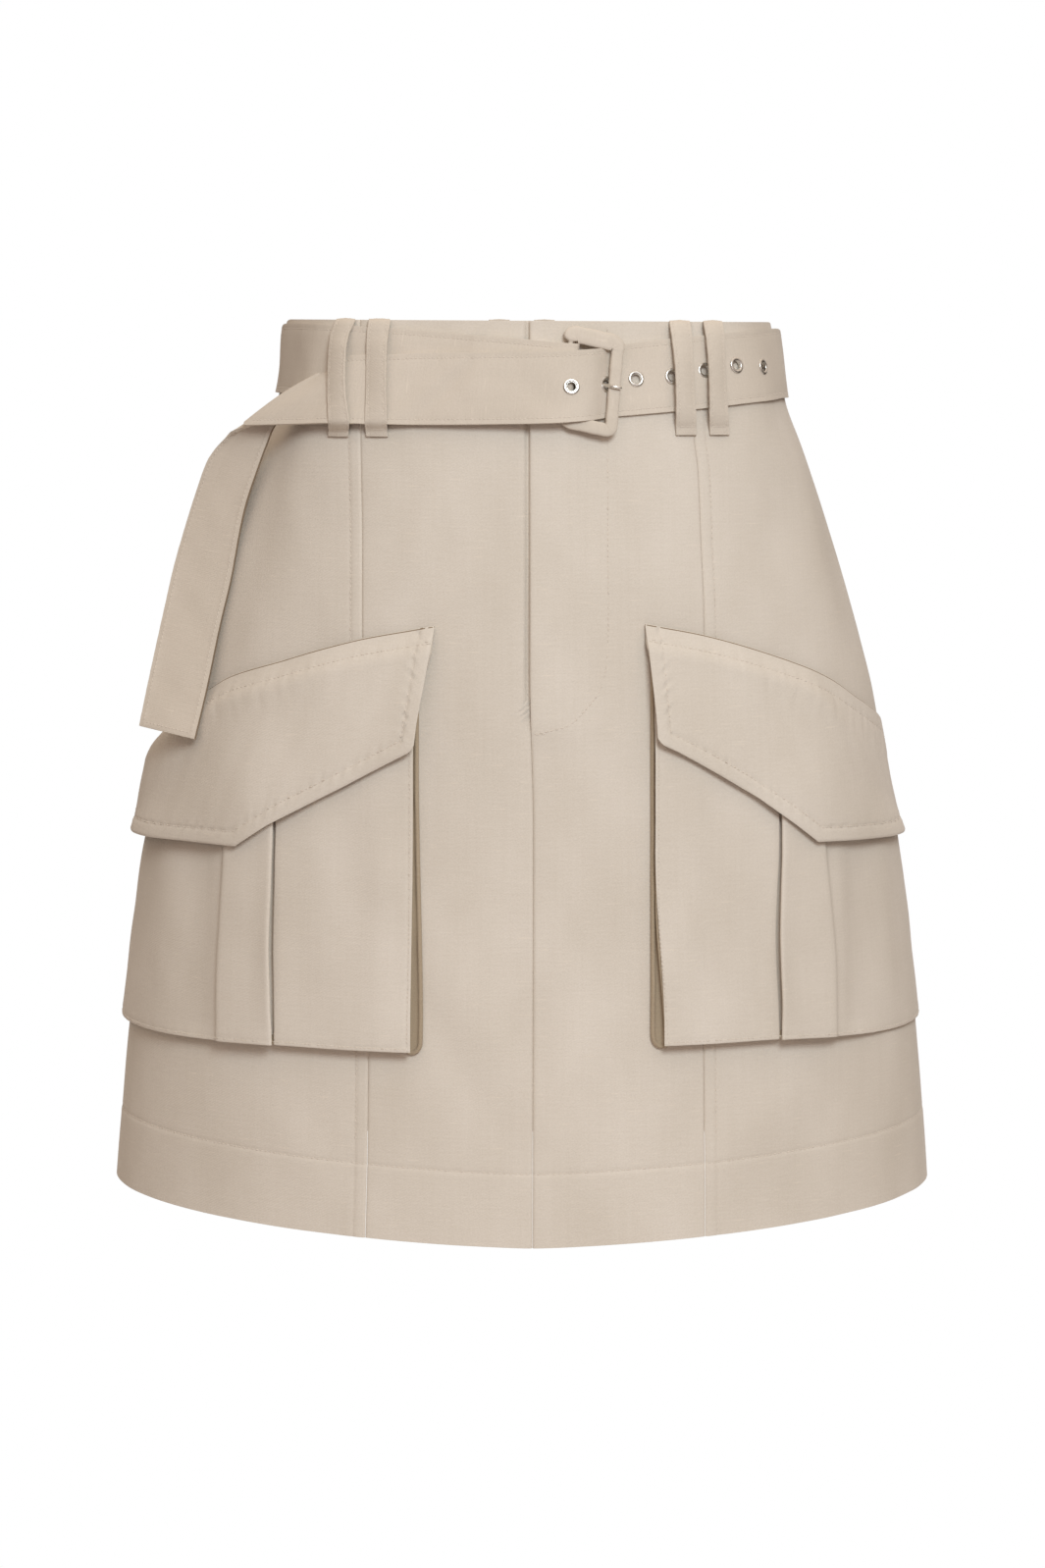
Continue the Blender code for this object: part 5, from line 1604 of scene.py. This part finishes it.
# %% Rows on pockets and flaps
def on_face(side):
    def place(s, z):
        fold_in, fold_out = pleat_place(side, z, -0.1), pleat_place(side, z, PLEAT_OUT - PLEAT_IN)
        inside = smooth((s - fold_in + 0.2) / 0.6) * (1 - smooth((s - fold_out + 1) / 3))
        n = face_level(side, s, z) + PLEAT_RISE * inside * pleat_share(side, s, z)
        return on_skirt(side * s, z, n + face_wrinkles(side, s, z) + drape(side * s, z) + 0.03)

    return place


def on_flap(side):
    return lambda s, z: on_skirt(side * s, z, flap_level(side, s, z) + drape(side * s, z) + 0.02)


def inset(line, distance):
    """A line of points moved to its right-hand side, corners kept sharp."""
    line = np.array(line)
    ways = unit(np.diff(line, axis=0))
    normals = np.stack([-ways[:, 1], ways[:, 0]], -1)
    moved = [line[0] + distance * normals[0]]
    for k in range(1, len(line) - 1):
        half = unit(normals[k - 1] + normals[k])
        moved.append(line[k] + distance * half / max(0.3, half.dot(normals[k])))
    moved.append(line[-1] + distance * normals[-1])
    return np.array(moved)


def dense(line, step=2.0):
    """A line of points with more set between them, about a step apart."""
    out = []
    for a, b in zip(line, line[1:]):
        out.append(np.linspace(a, b, max(2, int(np.linalg.norm(b - a) / step)))[:-1])
    return np.concatenate(out + [line[-1:]])


pocket_stitching, flap_stitching = {}, {}
for side in (1, -1):
    word, top_in, low_in, inner, bottom = POCKETS[side]
    place, edge = on_face(side), float(arc_at(POCKET_OUTER, bottom))
    z = np.arange(flap_top(side, inner) - MOUTH - 2, bottom + 2, -2.0)
    s = np.linspace(float(face_inner(side, bottom)) + 1.6, edge - 2, 90)
    far = np.arange(bottom + 4, flap_top(side, edge) - MOUTH - 2, 2.0)
    pocket_stitching[side] = stitch_rows("pocket_stitching_" + word, [
        (place, face_inner(side, z) + 1.6, z),
        (place, s, face_bottom(side, s) + 1.6),
        (place, arc_at(POCKET_OUTER, far) - 2, far),
    ], size=0.85)
    outline = flap_outline(side)
    row = dense(inset(outline, FLAP_ROW))
    row = row[(flap_top(side, row[:, 0]) - row[:, 1]) > 1.5]
    s = np.linspace(top_in + 1, FLAP_HIGH_EDGE - 1, 90)
    corner = top_in + 1.2 + np.linspace(0, 4.5, 8)
    flap_stitching[side] = stitch_rows("flap_stitching_" + word, [
        (on_flap(side), row[:, 0], row[:, 1]),
        (on_flap(side), s, flap_top(side, s) - TOP_ROW),
        (on_flap(side), corner, flap_top(side, corner) - TOP_ROW + 0.9),
    ])


# %% Rows on the belt and loops
def on_grid(points, run, across):
    """Places on a surface given as rows of points, by run and distance across."""

    def place(along_run, over):
        row = np.interp(along_run, run, np.arange(len(run)))
        return between_cells(points, row, np.interp(over, across, np.arange(len(across))))

    return place


face_way = belt_out if outward > 0 else -belt_out
lift = face_way * (BELT_CLOTH / 2 + 0.02)
outer_belt = on_grid(belt_points + lift, belt_run, width_mm)
inner_belt = on_grid(belt_points - lift, belt_run, width_mm)
shown_run = np.arange(belt_run[stretch == "over"][0] + 3, belt_run[stretch == "fold"][0] - 1, 2.0)
tail_run = np.arange(belt_run[stretch == "tail"][0] + 1, belt_run[-1] - 2, 2.0)
end_across = np.linspace(3.5, BELT_WIDTH - 3.5, 14)
routes = []
for row in (EDGE_ROW, BELT_WIDTH - EDGE_ROW):
    for surface, along in ((outer_belt, shown_run), (inner_belt, tail_run), (outer_belt, tail_run)):
        routes.append((surface, along, row + 0 * along))
routes.append((inner_belt, belt_run[-1] - EDGE_ROW + 0 * end_across, end_across))
belt_stitching = stitch_rows("belt_stitching", routes, 0.85)

routes, foot_routes = [], []
for points, run in loop_surfaces.values():
    place = on_grid(points, run, LOOP_ACROSS)
    along_loop = np.arange(3.2, run[-1] - 1.5, 2.0)
    for row in (-3.9, 3.9):
        routes.append((place, along_loop, row + 0 * along_loop))
    over = np.linspace(-4.6, 4.6, 12)
    for at in (run[-1] - 4.5, run[-1] - 1.4, 1.6):
        foot_routes.append((place, at + 0 * over, over))
loop_stitching = stitch_rows("loop_stitching", routes, 0.8)
loop_tacks = stitch_rows("loop_bartacks", foot_routes, 0.75, 1.6)

# %% [markdown]
# ## The cloth as it was cut
# Each piece of cloth is listed with the size of its cut before sewing. Panels count their turned hem;
# areas leave out what was cut away at their slants.

CUTS = (
    # piece, width and length in metres, area in square metres, how it is held, its stitches
    ("front_left_cloth", 0.088, 0.486, None, "hung", [fly_stitching, fly_tack, hem_stitching]),
    ("front_right_cloth", 0.093, 0.486, 0.0423, "hung", []),
    ("side_front_left_cloth", 0.199, 0.486, 0.0766, "hung", [seam_stitching]),
    ("side_front_right_cloth", 0.202, 0.486, 0.0780, "hung", []),
    ("back_cloth", 0.577, 0.486, 0.2455, "hung", []),
    ("pocket_face_left_cloth", 0.225, 0.191, 0.0367, "folded", [pocket_stitching[1]]),
    ("pocket_face_right_cloth", 0.229, 0.197, 0.0382, "folded", [pocket_stitching[-1]]),
    ("pocket_gusset_left_cloth", 0.018, 0.529, None, "folded", []),
    ("pocket_gusset_right_cloth", 0.018, 0.543, None, "folded", []),
    ("pocket_flap_left_cloth", 0.207, 0.116, 0.0160, "folded", [flap_stitching[1]]),
    ("pocket_flap_right_cloth", 0.215, 0.116, 0.0164, "folded", [flap_stitching[-1]]),
    ("belt_strap", 0.035, 1.105, None, "folded", [belt_stitching]),
    ("belt_loop_right_outer_strip", 0.011, 0.078, None, "folded", [loop_stitching, loop_tacks]),
    ("belt_loop_right_inner_strip", 0.011, 0.076, None, "folded", []),
    ("belt_loop_left_inner_strip", 0.011, 0.072, None, "folded", []),
    ("belt_loop_left_outer_strip", 0.011, 0.072, None, "folded", []),
    ("belt_loop_back_left_strip", 0.011, 0.072, None, "folded", []),
    ("belt_loop_back_right_strip", 0.011, 0.072, None, "folded", []),
)
shown_area = sum(area or width * length for _, width, length, area, _, _ in CUTS)
print(len(CUTS), "sheets, cut from", round(shown_area, 2), "square metres")

# %% [markdown]
# ## Studio and camera
# A pale floor, a white wall behind, one large soft light high in front, and a warm grey room.
# The camera stands level with the waist and looks down a little, through a long lens.

# %% Floor, lights and camera
# the room low and high at its sides, in front of the skirt and behind it; then the light
LOW_SIDES, HIGH_LEFT, HIGH_RIGHT, FRONT, BEHIND = "#332C26", "#FBE9D6", "#FCEADA", "#C2B0AA", "#FFFFFF"
KEY, KEY_TINT, KEY_PLACE = 42.5, "#E9F5FB", (0.45, -2.3, 1.15)
CAMERA_AWAY, CAMERA_TURN, CAMERA_UP, CAMERA_ROLL = 2.2, -2.0, 6.22, 0.33
CAMERA_AIM, LENS, SENSOR = (-0.0012, 0, -0.2385), 97.55, 36.0
disc = {"vertices": 96, "radius": 0.95, "fill_type": "NGON"}
floor = clean_add(bpy.ops.mesh.primitive_circle_add, location=(0, 0, -1.0), **disc)
bpy.ops.object.transform_apply(location=True)
floor.name = "floor"
paper, _, paper_shader = start_finish("white_paper", 0.9)
paper_shader.inputs["Base Color"].default_value = linear("#F7F6F4")
floor.data.materials.append(paper)

world = bpy.data.worlds.new("studio")
bpy.context.scene.world = world
world.use_nodes = True
sky = world.node_tree
# the room is warm grey, darker low down at the sides, with a white wall straight behind
around_room = node(sky, "ShaderNodeTexCoord").outputs["Generated"]
heading = node(sky, "ShaderNodeSeparateXYZ", {"Vector": around_room})


def room_part(axis, start, end):
    """From 0 to 1 across the room, between two places along an axis."""
    limits = {"From Min": start, "From Max": end}
    return node(sky, "ShaderNodeMapRange", {"Value": heading.outputs[axis]}, limits).outputs["Result"]


def room_mix(part, first, second):
    """Blend two colours of the room, each a hex code or another blend."""
    blend = node(sky, "ShaderNodeMix", {"Factor": part}, data_type="RGBA")
    for socket, colour in (("A", first), ("B", second)):
        if isinstance(colour, str):
            blend.inputs[socket].default_value = linear(colour)
        else:
            sky.links.new(colour, blend.inputs[socket])
    return blend.outputs["Result"]


high = room_mix(room_part("X", -0.5, 0.5), HIGH_LEFT, HIGH_RIGHT)
sides = room_mix(room_part("Z", -0.1, 0.7), LOW_SIDES, high)
room = room_mix(room_part("Y", -0.35, -0.9), sides, FRONT)
walls = room_mix(room_part("Y", 0.80, 0.88), room, BEHIND)
sky.links.new(walls, sky.nodes["Background"].inputs["Color"])


light = bpy.data.lights.new("key_light", "AREA")
light.shape, light.size, light.energy = "DISK", 1.0, KEY
light.color = linear(KEY_TINT)[:3]
lamp = bpy.data.objects.new("key_light", light)
bpy.context.scene.collection.objects.link(lamp)
lamp.location = KEY_PLACE
aim = Vector((0, 0, -0.2)) - Vector(KEY_PLACE)
lamp.rotation_euler = aim.to_track_quat("-Z", "Y").to_euler()

turn_rad, up_rad, roll = (math.radians(v) for v in (CAMERA_TURN, CAMERA_UP, CAMERA_ROLL))
level = math.cos(up_rad)
backward = Vector((math.sin(turn_rad) * level, -math.cos(turn_rad) * level, math.sin(up_rad)))
rightward = (-backward).cross(Vector((0, 0, 1))).normalized()
upward = rightward.cross(-backward)
right = rightward * math.cos(roll) + upward * math.sin(roll)
up = upward * math.cos(roll) - rightward * math.sin(roll)
lens = bpy.data.cameras.new("camera")
lens.lens, lens.sensor_width = LENS, SENSOR
camera = bpy.data.objects.new("camera", lens)
bpy.context.scene.collection.objects.link(camera)
stands = Matrix.Translation(Vector(CAMERA_AIM) + CAMERA_AWAY * backward)
camera.matrix_world = stands @ Matrix((right, up, backward)).transposed().to_4x4()
bpy.context.scene.camera = camera
bpy.context.scene.view_settings.view_transform = "Standard"
